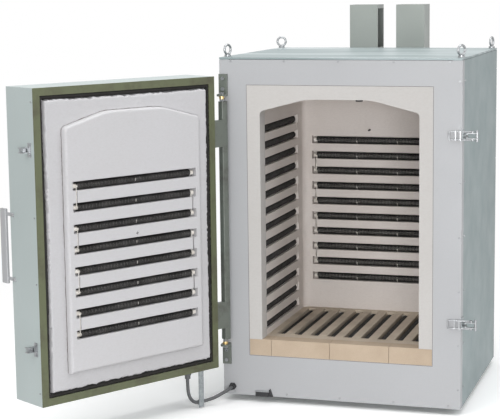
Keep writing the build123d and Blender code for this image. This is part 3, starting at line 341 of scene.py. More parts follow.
def enamel_skin(tree, shader, coords, fine):
    """The small dimples that stove enamel dries with."""
    dimples = cells(tree, coords, 420.0, "SMOOTH_F1")
    bumped(tree, shader, (dimples, 0.12, 0.25), (fine, 0.10, 0.15))


def hammered_paint(name, color, gloss, metallic, dapple):
    """Stove enamel with a fine hammered skin and slow changes of tone."""
    material, tree, shader, coords = new_material(name)
    slow = between(tree, cloud(tree, coords, 2.6, 2.0), 0.3, 0.7)
    fine = cloud(tree, coords, 340.0, 2.0)
    tone = blended(tree, slow, tint(color, 1 - dapple), tint(color, 1 + dapple))
    tone = blended(tree, between(tree, fine, 0.35, 0.65, 0.0, 0.35), tone, tint(color, 0.9))
    rough = between(tree, cloud(tree, coords, 9.0, 3.0), 0.3, 0.7, gloss - 0.05, gloss + 0.08)
    shade(tree, shader, tone, rough, metallic)
    enamel_skin(tree, shader, coords, fine)
    return material


def sheen_streaked_paint(name, color, light):
    """Roof enamel with soft slanting streaks, glossier and of a lighter colour that is painted
    sheen.
    """
    material, tree, shader, coords = new_material(name)
    slant = step(tree, "Mapping", Vector=coords, Rotation=(0, 0, 0.95), Scale=(0.9, 9.0, 1.0))
    gloss_and_sheen = cloud(tree, slant.outputs["Vector"], 1.0, 2.0, 0.4)
    gloss_and_sheen = between(tree, gloss_and_sheen, 0.42, 0.66)
    fine = cloud(tree, coords, 340.0, 2.0)
    rough = between(tree, gloss_and_sheen, 0.0, 1.0, 0.46, 0.34)
    # The lighter colour along the streaks is painted sheen; their lower roughness is real gloss
    shade(tree, shader, blended(tree, gloss_and_sheen, color, light), rough, 0.2)
    enamel_skin(tree, shader, coords, fine)
    return material


def stained_paint(name, color, stain):
    """Paint that heat has browned in patches, with dark specks scattered over it."""
    material, tree, shader, coords = new_material(name)
    patch = between(tree, cloud(tree, coords, 7.0, 5.0, 0.7), 0.48, 0.68)
    speck = between(tree, cloud(tree, coords, 160.0, 4.0, 0.8), 0.62, 0.7)
    tone = blended(tree, patch, color, stain)
    tone = blended(tree, between(tree, speck, 0.0, 1.0, 0.0, 0.5), tone, tint(stain, 0.5))
    shade(tree, shader, tone, between(tree, patch, 0.0, 1.0, 0.42, 0.62), 0.0)
    bumped(tree, shader, (cloud(tree, coords, 300.0, 2.0), 0.12, 0.2), (speck, 0.15, -0.15))
    return material


def zinc_plate(name, color, roughness):
    """Bright zinc on pressed steel, with clouded patches."""
    material, tree, shader, coords = new_material(name)
    patch = cloud(tree, coords, 90.0, 4.0, 0.65)
    tone = blended(tree, between(tree, patch, 0.35, 0.7), color, tint(color, 0.72))
    rough = between(tree, patch, 0.3, 0.75, roughness, roughness + 0.2)
    shade(tree, shader, tone, rough, 0.9)
    bumped(tree, shader, (cloud(tree, coords, 700.0, 2.0), 0.1, 0.05))
    return material


def turned_brass(name):
    """Brass with the fine rings of the lathe."""
    material, tree, shader, coords = new_material(name)
    rings = cloud(tree, stretched(tree, coords, 80.0, 80.0, 900.0), 1.0, 2.0)
    tone = blended(tree, between(tree, rings, 0.35, 0.65), (0.55, 0.38, 0.16), (0.78, 0.60, 0.30))
    shade(tree, shader, tone, 0.33, 1.0)
    bumped(tree, shader, (rings, 0.15, 0.05))
    return material


def fibre(name, color, scorch, scorched, relief):
    """Ceramic fibre: matt, slightly fuzzy, with soft dents and faint scorch marks."""
    material, tree, shader, coords = new_material(name)
    slow = between(tree, cloud(tree, coords, 3.2, 4.0), 0.38, 0.72)
    felt = cloud(tree, stretched(tree, coords, 1.0, 1.0, 2.2), 95.0, 6.0, 0.7, 0.6)
    tone = blended(tree, between(tree, slow, 0.0, 1.0, 0.0, scorched), color, scorch)
    tone = blended(tree, between(tree, felt, 0.42, 0.68, 0.0, 0.16), tone, tint(scorch, 0.8))
    shade(tree, shader, tone, 0.94, 0.0, 0.2)
    dents = cloud(tree, coords, 14.0, 3.0)
    bumped(tree, shader, (dents, 0.25 * relief, 3.0), (felt, 0.45 * relief, 0.8))
    return material


def firebrick(name, color, dark, pore_scale):
    """Pressed firebrick: warm grain, small pores and iron specks."""
    material, tree, shader, coords = new_material(name)
    slow = between(tree, cloud(tree, coords, 8.0, 4.0), 0.35, 0.7)
    grain = cloud(tree, coords, 260.0, 5.0, 0.75)
    pores = between(tree, cells(tree, coords, pore_scale), 0.06, 0.2, 1.0, 0.0)
    holes = between(tree, cloud(tree, coords, 46.0, 3.0, 0.6), 0.5, 0.64)
    speck = combined(tree, "MULTIPLY", pores, holes)
    tone = blended(tree, slow, color, dark)
    tone = blended(tree, between(tree, grain, 0.4, 0.66, 0.0, 0.3), tone, tint(dark, 0.82))
    tone = blended(tree, between(tree, speck, 0.0, 1.0, 0.0, 0.6), tone, tint(dark, 0.45))
    shade(tree, shader, tone, 0.9, 0.0, 0.25)
    bumped(tree, shader, (grain, 0.35, 0.6), (speck, 0.5, -0.9))
    return material


def white_ceramic(name):
    """Glazed ceramic, faintly smoked."""
    material, tree, shader, coords = new_material(name)
    smoke = between(tree, cloud(tree, coords, 34.0, 4.0), 0.4, 0.7)
    shade(tree, shader, blended(tree, smoke, (0.80, 0.77, 0.72), (0.60, 0.56, 0.50)), 0.55)
    bumped(tree, shader, (cloud(tree, coords, 420.0, 3.0), 0.15, 0.15))
    return material


def resistance_wire(name):
    """Oxidised heating wire: nearly black, with a dull bluish bloom."""
    material, tree, shader, coords = new_material(name)
    bloom = between(tree, cloud(tree, coords, 26.0, 4.0, 0.6), 0.4, 0.72)
    tone = blended(tree, bloom, (0.018, 0.017, 0.016), (0.060, 0.057, 0.056))
    shade(tree, shader, tone, between(tree, bloom, 0.0, 1.0, 0.5, 0.7), 0.3)
    bumped(tree, shader, (cloud(tree, coords, 900.0, 2.0), 0.2, 0.05))
    return material


def moulded(name, color, roughness):
    """Moulded plastic or rubber with a fine spark-eroded skin."""
    material, tree, shader, coords = new_material(name)
    dust = between(tree, cloud(tree, coords, 40.0, 4.0), 0.45, 0.75)
    tone = blended(tree, between(tree, dust, 0.0, 1.0, 0.0, 0.4), color, tint(color, 1.7))
    rough = between(tree, dust, 0.0, 1.0, roughness, roughness + 0.15)
    shade(tree, shader, tone, rough, 0.0, 0.4)
    bumped(tree, shader, (cloud(tree, coords, 1100.0, 2.0), 0.2, 0.06))
    return material


SILVER_PAINT = hammered_paint("silver_paint", (0.395, 0.40, 0.412), 0.45, 0.12, 0.03)
GREEN_GREY_PAINT = hammered_paint("green_grey_paint", (0.235, 0.29, 0.295), 0.45, 0.12, 0.05)
ROOF_PAINT = sheen_streaked_paint("roof_paint", (0.24, 0.29, 0.295), (0.42, 0.48, 0.49))
DUCT_PAINT = hammered_paint("duct_paint", (0.262, 0.282, 0.264), 0.38, 0.25, 0.08)
DOOR_PAINT = hammered_paint("door_paint", (0.42, 0.475, 0.47), 0.44, 0.2, 0.04)
RIM_PAINT = stained_paint("rim_paint", (0.100, 0.112, 0.058), (0.070, 0.068, 0.040))
HINGE_PAINT = stained_paint("hinge_paint", (0.125, 0.140, 0.122), (0.07, 0.07, 0.06))
ZINC = zinc_plate("zinc_plate", (0.38, 0.39, 0.40), 0.24)
ZINC_DULL = zinc_plate("dull_zinc", (0.36, 0.39, 0.40), 0.42)
PIN_STEEL = zinc_plate("pin_steel", (0.16, 0.16, 0.16), 0.35)
BRASS = turned_brass("brass")
COLLAR_FIBRE = fibre("collar_fibre", (0.53, 0.515, 0.50), (0.45, 0.42, 0.39), 0.15, 0.35)
WALL_BRICK = fibre("wall_brick", (0.70, 0.655, 0.625), (0.52, 0.46, 0.42), 0.3, 0.4)
HEARTH_BRICK = firebrick("hearth_brick", (0.62, 0.54, 0.44), (0.48, 0.41, 0.33), 180.0)
SILL_BRICK = firebrick("sill_brick", (0.52, 0.42, 0.32), (0.45, 0.355, 0.265), 210.0)
DOOR_FIBRE = fibre("door_fibre", (0.53, 0.525, 0.54), (0.44, 0.42, 0.40), 0.10, 0.8)
PLUG_FIBRE = fibre("plug_fibre", (0.55, 0.545, 0.56), (0.47, 0.45, 0.43), 0.10, 0.4)
CERAMIC = white_ceramic("white_ceramic")
WIRE = resistance_wire("resistance_wire")
SCALED_STEEL = resistance_wire("scaled_steel")
# Dark colour of painted shade: in the lead slots, along the plug's foot and in the joint round the
# mouth
PAINTED_SHADE = moulded("painted_joint_shade", (0.17, 0.155, 0.145), 0.8)
BLACK_PACKING_FINISH = moulded("black_packing_finish", (0.012, 0.011, 0.010), 0.85)
RUBBER = moulded("black_rubber", (0.02, 0.02, 0.02), 0.7)
BLACK_PLASTIC = moulded("black_plastic", (0.02, 0.02, 0.022), 0.45)
SLEEVE = moulded("conduit_sleeve", (0.085, 0.088, 0.092), 0.42)

NODE_FINISH = {
    SILVER_PAINT: ["front_panel", "door_handle"],
    GREEN_GREY_PAINT: ["side_panel_left", "side_panel_right", "rear_panel", "bottom_pan",
                       "terminal_cover", "corner_posts"],
    ROOF_PAINT: ["roof_panel"],
    DUCT_PAINT: ["rear_duct_left", "rear_duct_right"],
    DOOR_PAINT: ["door_casing"],
    RIM_PAINT: ["door_rim"],
    HINGE_PAINT: ["hinge_brackets", "hinge_bar", "hinge_lugs"],
    ZINC: ["lifting_eyebolts", "panel_screws", "bracket_bolts", "pivot_bolts", "latch_lever_upper",
           "latch_lever_lower", "latch_bail_upper", "latch_bail_lower", "keepers", "door_screws"],
    ZINC_DULL: ["conduit_strap", "latch_bases"],
    PIN_STEEL: ["latch_pivot_pins", "latch_link_pins_upper", "latch_link_pins_lower"],
    BRASS: ["pivot_washers"],
    COLLAR_FIBRE: ["mouth_collar"],
    WALL_BRICK: ["left_wall_bricks", "right_wall_bricks", "rear_wall_bricks", "vault_bricks"],
    HEARTH_BRICK: ["hearth_bricks"],
    SILL_BRICK: ["sill_bricks"],
    DOOR_FIBRE: ["door_lining", "door_insulation", "front_insulation", "backing_insulation"],
    PLUG_FIBRE: ["door_plug"],
    CERAMIC: ["coil_tubes", "door_coil_tubes", "terminal_strips"],
    SCALED_STEEL: ["thermocouple", "flue_sleeve"],
    RUBBER: ["feet"],
    BLACK_PLASTIC: ["cable_glands", "door_switch"],
    WIRE: ["left_wall_coils", "right_wall_coils", "rear_wall_coils", "hearth_coils", "door_coils"],
    SLEEVE: ["conduit", "door_gland"],
}


def finish_nodes():
    """Gives every part of the frame its material."""
    for material, names in NODE_FINISH.items():
        for name in names:
            part = frame["nodes"][name]
            if not part.material_slots:
                part.data.materials.append(material)
            for slot in part.material_slots:
                slot.material = material


# Meshes


def new_object(name, data):
    """An object that is in the scene."""
    made = bpy.data.objects.new(name, data)
    bpy.context.scene.collection.objects.link(made)
    return made


def new_piece(name, mesh, material, body, slot_name, *nodes):
    """A finished piece at the origin, which rides on a body and stands for nodes."""
    piece = new_object(name, mesh)
    if material is not None:
        piece.data.materials.clear()
        piece.data.materials.append(material)
    if body:
        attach(piece, body)
    if nodes:
        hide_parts(*nodes)
    return piece


def mesh_from(name, bm, smooth=True):
    """A mesh with its faces pointing outwards."""
    bmesh.ops.recalc_face_normals(bm, faces=bm.faces)
    mesh = bpy.data.meshes.new(name)
    bm.to_mesh(mesh)
    bm.free()
    for face in mesh.polygons:
        face.use_smooth = smooth
    return mesh


def frames_along(points):
    """A side and an up direction at each point, turned as little as can be."""
    ahead = (points[1] - points[0]).normalized()
    side = ahead.orthogonal().normalized()
    made = []
    for index in range(len(points)):
        before = points[max(index - 1, 0)]
        after = points[min(index + 1, len(points) - 1)]
        turned = (after - before).normalized()
        side = (side - turned * side.dot(turned)).normalized()
        made.append((side, turned.cross(side)))
    return made


def add_tube(bm, points, radii, sides):
    """A closed tube through the points."""
    rings = []
    for point, radius, (side, up) in zip(points, radii, frames_along(points)):
        ring = []
        for k in range(sides):
            a = 2 * math.pi * k / sides
            across, along = side * radius * math.cos(a), up * radius * math.sin(a)
            ring.append(bm.verts.new(point + across + along))
        rings.append(ring)
    for low, high in zip(rings, rings[1:]):
        for k in range(sides):
            bm.faces.new((low[k], low[(k + 1) % sides], high[(k + 1) % sides], high[k]))
    bm.faces.new(rings[0])
    bm.faces.new(rings[-1])


def rounded_path(points, radius, steps):
    """A path with its corners rounded by arcs."""
    made = [points[0]]
    for a, b, c in zip(points, points[1:], points[2:]):
        start = b + (a - b).normalized() * radius
        end = b + (c - b).normalized() * radius
        for i in range(steps + 1):
            t = i / steps
            made.append(start.lerp(b, t).lerp(b.lerp(end, t), t))
    return made + [points[-1]]


# Heating coils, wound by geometry nodes


def coil_tree():
    """Node tree that winds one coil and repeats it over the rows of a wall."""
    tree = bpy.data.node_groups.new("coil_bank", "GeometryNodeTree")
    face = tree.interface
    sizes = ("Coil Radius", "Wire Radius", "Coil Length", "Turns", "Row Span", "Segment Span")
    for name in sizes:
        face.new_socket(name, in_out="INPUT", socket_type="NodeSocketFloat")
    for name in ("Rows", "Segments"):
        face.new_socket(name, in_out="INPUT", socket_type="NodeSocketInt")
    face.new_socket("Place", in_out="INPUT", socket_type="NodeSocketVector")
    face.new_socket("Turn", in_out="INPUT", socket_type="NodeSocketRotation")
    face.new_socket("Finish", in_out="INPUT", socket_type="NodeSocketMaterial")
    face.new_socket("Geometry", in_out="OUTPUT", socket_type="NodeSocketGeometry")
    link = tree.links.new

    def add(kind, **values):
        made = tree.nodes.new(kind)
        for name, value in values.items():
            socket = made.inputs[name.replace("_", " ")]
            if isinstance(value, bpy.types.NodeSocket):
                link(value, socket)
            else:
                socket.default_value = value
        return made

    given = tree.nodes.new("NodeGroupInput").outputs
    helix = add("GeometryNodeCurveSpiral", Resolution=TURN_STEPS, Rotations=given["Turns"],
                Start_Radius=given["Coil Radius"], End_Radius=given["Coil Radius"],
                Height=given["Coil Length"])
    profile = add("GeometryNodeCurvePrimitiveCircle", Resolution=WIRE_SIDES,
                  Radius=given["Wire Radius"])
    wire = add("GeometryNodeCurveToMesh", Curve=helix.outputs["Curve"],
               Profile_Curve=profile.outputs["Curve"], Fill_Caps=True)
    half = tree.nodes.new("ShaderNodeMath")
    half.operation = "MULTIPLY"
    half.inputs[1].default_value = -0.5
    link(given["Coil Length"], half.inputs[0])
    back = add("ShaderNodeCombineXYZ", Z=half.outputs[0])
    centred = add("GeometryNodeTransform", Geometry=wire.outputs["Mesh"],
                  Translation=back.outputs[0])
    laid = add("GeometryNodeTransform", Geometry=centred.outputs[0],
               Rotation=(0, math.pi / 2, 0))
    grid = add("GeometryNodeMeshGrid", Size_X=given["Segment Span"], Size_Y=given["Row Span"],
               Vertices_X=given["Segments"], Vertices_Y=given["Rows"])
    rows = add("GeometryNodeInstanceOnPoints", Points=grid.outputs["Mesh"],
               Instance=laid.outputs[0])
    turned = add("GeometryNodeTransform", Geometry=rows.outputs[0], Rotation=given["Turn"],
                 Translation=given["Place"])
    real = add("GeometryNodeRealizeInstances", Geometry=turned.outputs[0])
    done = add("GeometryNodeSetMaterial", Geometry=real.outputs[0], Material=given["Finish"])
    result = tree.nodes.new("NodeGroupOutput")
    link(done.outputs[0], result.inputs["Geometry"])
    return tree


COIL_TREE = coil_tree()


def made_by_tree(name, tree, **inputs):
    """The plain mesh that a node tree makes, with its material."""
    holder = new_object(name, bpy.data.meshes.new(name))
    modifier = holder.modifiers.new("tree", "NODES")
    modifier.node_group = tree
    sockets = {item.name: item.identifier for item in tree.interface.items_tree}
    for key, value in inputs.items():
        modifier[sockets[key.replace("_", " ")]] = value
    holder.update_tag()
    graph = bpy.context.evaluated_depsgraph_get()
    graph.update()
    mesh = bpy.data.meshes.new_from_object(holder.evaluated_get(graph), depsgraph=graph)
    bpy.data.objects.remove(holder)
    for face in mesh.polygons:
        face.use_smooth = True
    return mesh


def row_length(size, along):
    """Length of rows that run along a level direction, from the size of their box."""
    thick = 2 * COIL_R * MM
    if abs(along.x) > abs(along.y):
        return (size.x - thick * abs(along.y)) / abs(along.x)
    return (size.y - thick * abs(along.x)) / abs(along.y)


Bank = namedtuple("Bank", "node body rows segments along across forward first_end")


def coil_banks():
    """The rows of coils of every wall and of the door.

    along runs along the rows, across from the first row to the last, forward into the chamber.
    first_end is the end of the first row that its lead is at, 1 or -1 along the row.
    """
    x, y, z = Vector((1, 0, 0)), Vector((0, 1, 0)), Vector((0, 0, 1))
    door_x, door_y = OPEN.to_3x3() @ x, OPEN.to_3x3() @ y
    return [
        Bank("left_wall_coils", "cabinet", 13, 3, y, -z, x, 1),
        Bank("right_wall_coils", "cabinet", 13, 3, -y, -z, -x, -1),
        Bank("rear_wall_coils", "cabinet", 10, 3, x, -z, -y, 1),
        Bank("hearth_coils", "cabinet", 9, 2, y, -x, z, 1),
        Bank("door_coils", "door", 8, 2, door_x, -z, door_y, 1),
    ]


def wind_bank(bank):
    """Wound coils and their leads in place of one wall's plain ones."""
    low, high = (Vector(v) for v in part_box(bank.node))
    middle, size = (low + high) / 2, high - low
    upright = abs(bank.across.z) > 0.5
    span = (size.z if upright else size.x) - 2 * COIL_R * MM
    length = row_length(size, bank.along) - 2 * LEAD_OUT * MM
    segment = length / bank.segments
    turn = Matrix((bank.along, bank.across, bank.along.cross(bank.across))).transposed()
    mesh = made_by_tree(
        bank.node, COIL_TREE, Coil_Radius=(COIL_R - WIRE_R) * MM, Wire_Radius=WIRE_R * MM,
        Coil_Length=segment - WIRE_R * MM, Turns=segment / MM / WIRE_PITCH, Row_Span=span,
        Segment_Span=length - segment, Rows=bank.rows, Segments=bank.segments, Place=middle,
        Turn=turn.to_euler(), Finish=WIRE)
    new_piece(f"{bank.node}_wound", mesh, None, bank.body, "element_wire", bank.node)
    add_leads(bank, middle, length, span)


def add_leads(bank, middle, length, span):
    """Sleeved leads that link the rows in a zigzag, and dark sheets of painted shade at the backs
    of their slots.
    """
    along, across, forward = bank.along, bank.across, bank.forward
    pitch = span / (bank.rows - 1)
    top = middle - across * span / 2
    leads, slot_shades = bmesh.new(), bmesh.new()
    for row in range(bank.rows - 1):
        end = bank.first_end if row % 2 == 0 else -bank.first_end
        edge = top + across * pitch * row + along * end * length / 2 + forward * LEAD_FORWARD * MM
        inside = edge - along * end * LEAD_IN * MM
        outside = edge + along * end * LEAD_OUT / 2 * MM
        points = [inside, outside, outside + across * pitch, inside + across * pitch]
        path = rounded_path(points, LEAD_BEND * MM, LEAD_BEND_STEPS)
        add_tube(leads, path, [LEAD_R * MM] * len(path), LEAD_SIDES)
        # A thin dark sheet at the back of the slot, painted shade in the slot
        back = outside - forward * SLOT_BACK * MM + across * COIL_R * MM
        down = across * (pitch - 2 * COIL_R * MM)
        half = along * SLOT_W / 2 * MM
        corners = (-half, half, half + down, down - half)
        slot_shades.faces.new([slot_shades.verts.new(back + corner) for corner in corners])
    name = f"{bank.node}_leads"
    new_piece(name, mesh_from(name, leads), CERAMIC, bank.body, "white_ceramic")
    bmesh.ops.solidify(slot_shades, geom=slot_shades.faces[:], thickness=SLOT_FLOOR_T * MM)
    name = f"{bank.node}_slots"
    new_piece(name, mesh_from(name, slot_shades, False), PAINTED_SHADE, bank.body, "insulating_brick")


# Conduit


def conduit_points():
    """The conduit's route, from the cabinet's gland through the clip into the door's gland."""
    gland = Vector(CONDUIT_GLAND)
    before = [at(*(gland + Vector(offset))) for offset in FROM_GLAND]
    after = [on_door(DOOR_X0 + along, CONDUIT_LINE_Y, height) for along, height in UNDER_DOOR]
    return before + after


def spline_points(route):
    """Points along a smooth spline that the route controls."""
    curve = bpy.data.curves.new("route", "CURVE")
    curve.dimensions = "3D"
    curve.resolution_u = ROUTE_STEPS
    spline = curve.splines.new("NURBS")
    spline.points.add(len(route) - 1)
    for point, place in zip(spline.points, route):
        point.co = (*place, 1.0)
    spline.order_u = 3
    spline.use_endpoint_u = True
    holder = new_object("route", curve)
    graph = bpy.context.evaluated_depsgraph_get()
    mesh = bpy.data.meshes.new_from_object(holder.evaluated_get(graph), depsgraph=graph)
    points = [vertex.co.copy() for vertex in mesh.vertices]
    bpy.data.objects.remove(holder)
    bpy.data.meshes.remove(mesh)
    return points


def even_points(points, pitch):
    """Points a fixed distance apart along a path."""
    made = [points[0]]
    spare = 0.0
    for a, b in zip(points, points[1:]):
        run = (b - a).length
        place = pitch - spare
        while place <= run:
            made.append(a.lerp(b, place / run))
            place += pitch
        spare = (spare + run) % pitch
    return made + [points[-1]]


def make_conduit():
    """Ribbed sleeve from the cabinet's gland to the door's gland, drawn for the open door."""
    line = even_points(spline_points(conduit_points()), CONDUIT_RIB_PITCH * MM / RIB_STEPS)
    radii = []
    for i in range(len(line)):
        wave = math.cos(2 * math.pi * i / RIB_STEPS)
        radii.append((CONDUIT_R - CONDUIT_RIB + CONDUIT_RIB * wave) * MM)
    bm = bmesh.new()
    add_tube(bm, line, radii, CONDUIT_SIDES)
    mesh = mesh_from("conduit_sleeve", bm)
    piece = new_piece("conduit_sleeve", mesh, SLEEVE, None, "conduit_sleeve", "conduit")
    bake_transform(piece)


# Door lining with its torn edges


def rounded_outline(corners):
    """Points round a closed outline of (x, z, radius) corners, with its corners as arcs."""
    made = []
    for i, (x, z, radius) in enumerate(corners):
        here = Vector((x, z))
        back = (Vector(corners[i - 1][:2]) - here).normalized()
        ahead = (Vector(corners[(i + 1) % len(corners)][:2]) - here).normalized()
        half = back.angle(ahead) / 2
        centre = here + (back + ahead).normalized() * radius / math.sin(half)
        start = here + back * radius / math.tan(half) - centre
        finish = here + ahead * radius / math.tan(half) - centre
        sweep = start.angle_signed(finish) if radius else 0.0
        for k in range(ARC_STEPS + 1 if radius else 1):
            a = -sweep * k / ARC_STEPS
            turned = Vector((start.x * math.cos(a) - start.y * math.sin(a),
                             start.x * math.sin(a) + start.y * math.cos(a)))
            made.append(centre + turned)
    return made


def plug_outline():
    """The arch that fills the mouth, a small gap inside it, in x and z."""
    half, foot = MOUTH_HALF - PLUG_GAP, SILL_Z + PLUG_GAP
    spring, crown = SPRING_Z - PLUG_GAP, CROWN_Z - PLUG_GAP
    right = [(half, foot, 0), (half, spring, HAUNCH_R), (CROWN_HALF, crown, CROWN_R)]
    return rounded_outline(right + [(-x, z, radius) for x, z, radius in reversed(right)])


def reach(outline, centre, ahead):
    """Distance from the centre to an outline in one direction."""
    for a, b in zip(outline, outline[1:] + outline[:1]):
        side = b - a
        cross = ahead.cross(side)
        if abs(cross) < 1e-9:
            continue
        far = (a - centre).cross(side) / cross
        along = (a - centre).cross(ahead) / cross
        if far > 0 and -1e-6 <= along <= 1 + 1e-6:
            return far
    return 0.0


def wander(x, z, fineness, seed, amount):
    """How far a torn or felted surface wanders at a place, in millimetres."""
    x, z = x * fineness, z * fineness
    coarse = noise.noise(Vector((x * 0.03, z * 0.03, seed)))
    fine = noise.noise(Vector((x * 0.14, z * 0.14, seed + 7.0)))
    return amount * (0.6 * coarse + 0.5 * fine)


def door_rectangle(inset):
    """Corners of a rectangle inside the door's edge, in x and z."""
    x0, x1 = DOOR_X0 + inset, DOOR_X0 + DOOR_W - inset
    z0, z1 = DOOR_Z0 + inset, DOOR_Z0 + DOOR_H - inset
    return [Vector(p) for p in ((x0, z0), (x1, z0), (x1, z1), (x0, z1))]


def middle_of(corners):
    """Middle of a rectangle of four corners."""
    return Vector(((corners[0].x + corners[1].x) / 2, (corners[0].y + corners[2].y) / 2))


def directions_round(centre, corners):
    """Directions round a centre, with the corners' own among them."""
    turns = [2 * math.pi * i / LINING_DIRECTIONS for i in range(LINING_DIRECTIONS)]
    turns += [math.atan2(p.y - centre.y, p.x - centre.x) % (2 * math.pi) for p in corners]
    return [Vector((math.cos(a), math.sin(a))) for a in sorted(turns)]


def closed_rings(bm, rings):
    """Faces between rings that follow each other, each ring closed on itself."""
    for low, high in zip(rings, rings[1:]):
        for i in range(len(low)):
            j = (i + 1) % len(low)
            bm.faces.new((low[i], low[j], high[j], high[i]))


def make_lining():
    """Felted blanket with a soft, torn edge, from the door's packing in to its plug."""
    outer, inner = door_rectangle(LINING_INSET), plug_outline()
    centre = middle_of(outer)
    bm = bmesh.new()
    rings = [[] for _ in range(len(LINING_EDGE) + LINING_STEPS + 1)]
    for ahead in directions_round(centre, outer):
        far, near = reach(outer, centre, ahead), reach(inner, centre, ahead)
        x, z = centre + ahead * far
        torn = max(0.0, sum(wander(x, z, *layer) for layer in TORN) + TORN_IN)
        places = [(far - inset - torn * share, depth) for inset, depth, share in LINING_EDGE]
        start = places[-1][0]
        for k in range(1, LINING_STEPS + 1):
            places.append((start + (near - start) * k / LINING_STEPS, 0.0))
        places.append((near, LINING_FOOT))
        for ring, (distance, depth) in zip(rings, places):
            x, z = centre + ahead * distance
            swell = sum(wander(x, z, *layer) for layer in SWOLLEN)
            y = LINING_Y + depth + min(swell, LINING_RISE)
            ring.append(bm.verts.new(on_door(x, y, z)))
    closed_rings(bm, rings)
    mesh = mesh_from("lining_blanket", bm)
    new_piece("lining_blanket", mesh, DOOR_FIBRE, "door", "fibre_blanket", "door_lining")


def ring_wander(spot, ring, layer):
    """A layer of unevenness that differs from ring to ring."""
    fineness, seed, amount = layer
    return wander(spot.x, spot.y, fineness, seed + ring, amount)


def make_packing():
    """Near-black, ragged packing in the gap between the door's rim and its lining."""
    outer = door_rectangle(RIM_W)
    centre = middle_of(outer)
    bm = bmesh.new()
    rings = [[] for _ in PACKING_PROFILE]
    for ahead in directions_round(centre, outer):
        far = reach(outer, centre, ahead)
        for k, (inset, depth) in enumerate(PACKING_PROFILE):
            spot = centre + ahead * (far - inset)
            ragged = ring_wander(spot, k, RAGGED)
            slip = ring_wander(spot, k, SLIPPED) * (0.2 if k == 0 else 1.0)
            spot = spot - ahead * max(slip, -PACKING_SLIP)
            y = DOOR_INNER_Y + depth + ragged + PACKING_LIFT
            rings[k].append(bm.verts.new(on_door(spot.x, y, spot.y)))
    closed_rings(bm, rings)
    new_piece("black_packing", mesh_from("black_packing", bm), BLACK_PACKING_FINISH, "door", "fibre_blanket")


def make_seam_shade():
    """Dark strip of painted shade in the fine crack where the lining meets the plug, open in some
    places and closed in others.
    """
    outline = plug_outline()
    bm = bmesh.new()
    rings = [[] for _ in SEAM_PROFILE]
    for a, b in zip(outline, outline[1:] + outline[:1]):
        out = Vector(((b - a).y, -(b - a).x)).normalized()
        count = max(1, int((b - a).length / SEAM_STEP))
        for i in range(count):
            spot = a.lerp(b, i / count)
            opened = SEAM_OPEN + wander(spot.x, spot.y, *SEAM_WANDER)
            open_here = SEAM_SHUT + max(0.0, opened)
            for ring, (share, lift) in zip(rings, SEAM_PROFILE):
                place = spot + out * (SEAM_W * open_here * share - SEAM_OVERLAP)
                ring.append(bm.verts.new(on_door(place.x, LINING_Y + lift, place.y)))
    closed_rings(bm, rings)
    new_piece("plug_seam_shade", mesh_from("plug_seam_shade", bm), PAINTED_SHADE, "door", "fibre_blanket")


# Front panel's opening and the switch at its foot


def make_opening_joint_shade():
    """Dark strip of painted shade in the joint between the front panel and the mouth."""
    low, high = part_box("mouth_collar")
    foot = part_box("sill_bricks")[0][2]
    x0, x1, z0, z1 = low[0], high[0], foot, high[2]
    bm = bmesh.new()
    rings = []
    for out, proud in JOINT_SHADE_PROFILE:
        o, y = out * MM, low[1] - proud * MM
        corners = ((x0 - o, z0 - o), (x1 + o, z0 - o), (x1 + o, z1 + o), (x0 - o, z1 + o))
        rings.append([bm.verts.new((x, y, z)) for x, z in corners])
    closed_rings(bm, rings)
    mesh = mesh_from("opening_joint_shade", bm, False)
    new_piece("opening_joint_shade", mesh, PAINTED_SHADE, "cabinet", "fibre_blanket")


def make_switch_top_highlight():
    """Bevelled zinc strip over the top of the switch box, a painted highlight of its lit top face.
    """
    low, high = (Vector(v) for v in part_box("door_switch"))
    x0, x1 = low.x, low.x + SWITCH_W * MM
    top, t = low.z + SWITCH_H * MM, STRIP_T * MM
    bm = bmesh.new()
    bmesh.ops.create_cube(bm, size=1.0)
    for vertex in bm.verts:
        vertex.co.x = x1 + t if vertex.co.x > 0 else x0 - t
        vertex.co.y = high.y - STRIP_BACK * MM if vertex.co.y > 0 else low.y
        vertex.co.z = top + STRIP_ABOVE * t if vertex.co.z > 0 else top - STRIP_BELOW * t
    bmesh.ops.bevel(bm, geom=bm.edges[:], offset=STRIP_EDGE * t, segments=2, affect="EDGES")
    mesh = mesh_from("switch_top_highlight", bm, False)
    new_piece("switch_top_highlight", mesh, ZINC, "cabinet", "zinc_steel")


# Camera, light and floor


def make_camera():
    """The camera of the photograph."""
    ahead = Vector((math.sin(CAMERA_YAW) * math.cos(CAMERA_PITCH),
                    math.cos(CAMERA_YAW) * math.cos(CAMERA_PITCH), math.sin(CAMERA_PITCH)))
    right = ahead.cross(Vector((0, 0, 1))).normalized()
    up = right.cross(ahead)
    c, s = math.cos(CAMERA_ROLL), math.sin(CAMERA_ROLL)
    turned = Matrix((right * c + up * s, up * c - right * s, -ahead)).transposed()
    data = bpy.data.cameras.new("camera")
    data.sensor_width = SENSOR_W
    data.lens = SENSOR_W * FOCAL_PX / IMAGE_W
    data.shift_x = (IMAGE_W / 2 - CENTRE_PX[0]) / IMAGE_W
    data.shift_y = (CENTRE_PX[1] - IMAGE_H / 2) / IMAGE_W
    data.clip_end = FARTHEST
    camera = new_object("camera", data)
    camera.matrix_world = Matrix.Translation(at(*CAMERA_AT)) @ turned.to_4x4()
    bpy.context.scene.camera = camera


def make_lamp(name, place, target, size, power, color):
    """A soft rectangular lamp, aimed at a place."""
    data = bpy.data.lights.new(name, "AREA")
    data.shape = "RECTANGLE"
    data.size, data.size_y = size
    data.energy = power
    data.color = color
    lamp = new_object(name, data)
    lamp.location = at(*place)
    lamp.rotation_euler = (at(*target) - at(*place)).to_track_quat("-Z", "Y").to_euler()


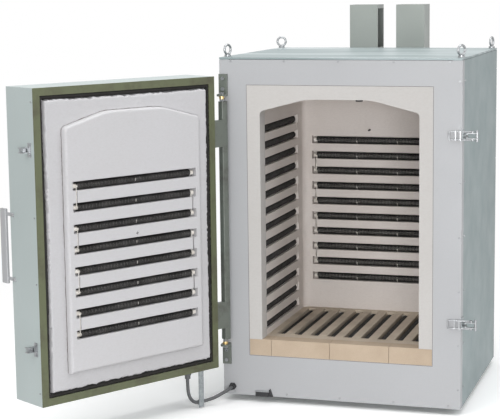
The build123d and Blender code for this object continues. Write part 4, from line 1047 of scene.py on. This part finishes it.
def seen_rays(tree):
    """1 for the rays that show a surface to the eye, straight, mirrored or through glass."""
    path = tree.nodes.new("ShaderNodeLightPath").outputs
    straight_or_mirrored = combined(tree, "MAXIMUM", path["Is Camera Ray"], path["Is Glossy Ray"])
    return combined(tree, "MAXIMUM", straight_or_mirrored, path["Is Transmission Ray"])


def make_world():
    """An even studio room: white where it's seen, softer as a light."""
    world = bpy.data.worlds.new("studio")
    bpy.context.scene.world = world
    world.use_nodes = True
    tree = world.node_tree
    tree.nodes.clear()
    strength = between(tree, seen_rays(tree), 0.0, 1.0, WORLD_LIGHT, 1.0)
    light = step(tree, "Background", Color=(1, 1, 1, 1), Strength=strength)
    output = tree.nodes.new("ShaderNodeOutputWorld")
    tree.links.new(light.outputs[0], output.inputs["Surface"])


def make_floor():
    """Pale floor that is white where it's seen and keeps the furnace's shadow."""
    bm = bmesh.new()
    bmesh.ops.create_grid(bm, x_segments=1, y_segments=1, size=FLOOR_HALF)
    mesh = bpy.data.meshes.new("floor")
    bm.to_mesh(mesh)
    bm.free()
    floor = new_object("floor", mesh)
    material = bpy.data.materials.new("floor")
    material.use_nodes = True
    tree = material.node_tree
    tree.nodes.clear()
    coords = tree.nodes.new("ShaderNodeTexCoord").outputs["Object"]
    away = step(tree, "VectorMath", operation="LENGTH")
    tree.links.new(coords, away.inputs[0])
    seen = seen_rays(tree)
    dull = step(tree, "BsdfDiffuse", Color=blended(tree, seen, FLOOR_TONE, FLOOR_SEEN))
    glow = step(tree, "Emission", Color=(1, 1, 1, 1), Strength=seen)
    share = between(tree, away.outputs["Value"], *FLOOR_FADE, *FLOOR_GLOW)
    mixed = step(tree, "MixShader", Fac=share)
    tree.links.new(dull.outputs[0], mixed.inputs[1])
    tree.links.new(glow.outputs[0], mixed.inputs[2])
    output = tree.nodes.new("ShaderNodeOutputMaterial")
    tree.links.new(mixed.outputs[0], output.inputs["Surface"])
    floor.data.materials.append(material)


bpy.context.scene.view_settings.view_transform = "Standard"
make_camera()
make_conduit()
make_world()
for lamp in LAMPS:
    make_lamp(*lamp)
make_floor()
finish_nodes()
for bank in coil_banks():
    wind_bank(bank)
make_lining()
make_packing()
make_seam_shade()
make_opening_joint_shade()
make_switch_top_highlight()
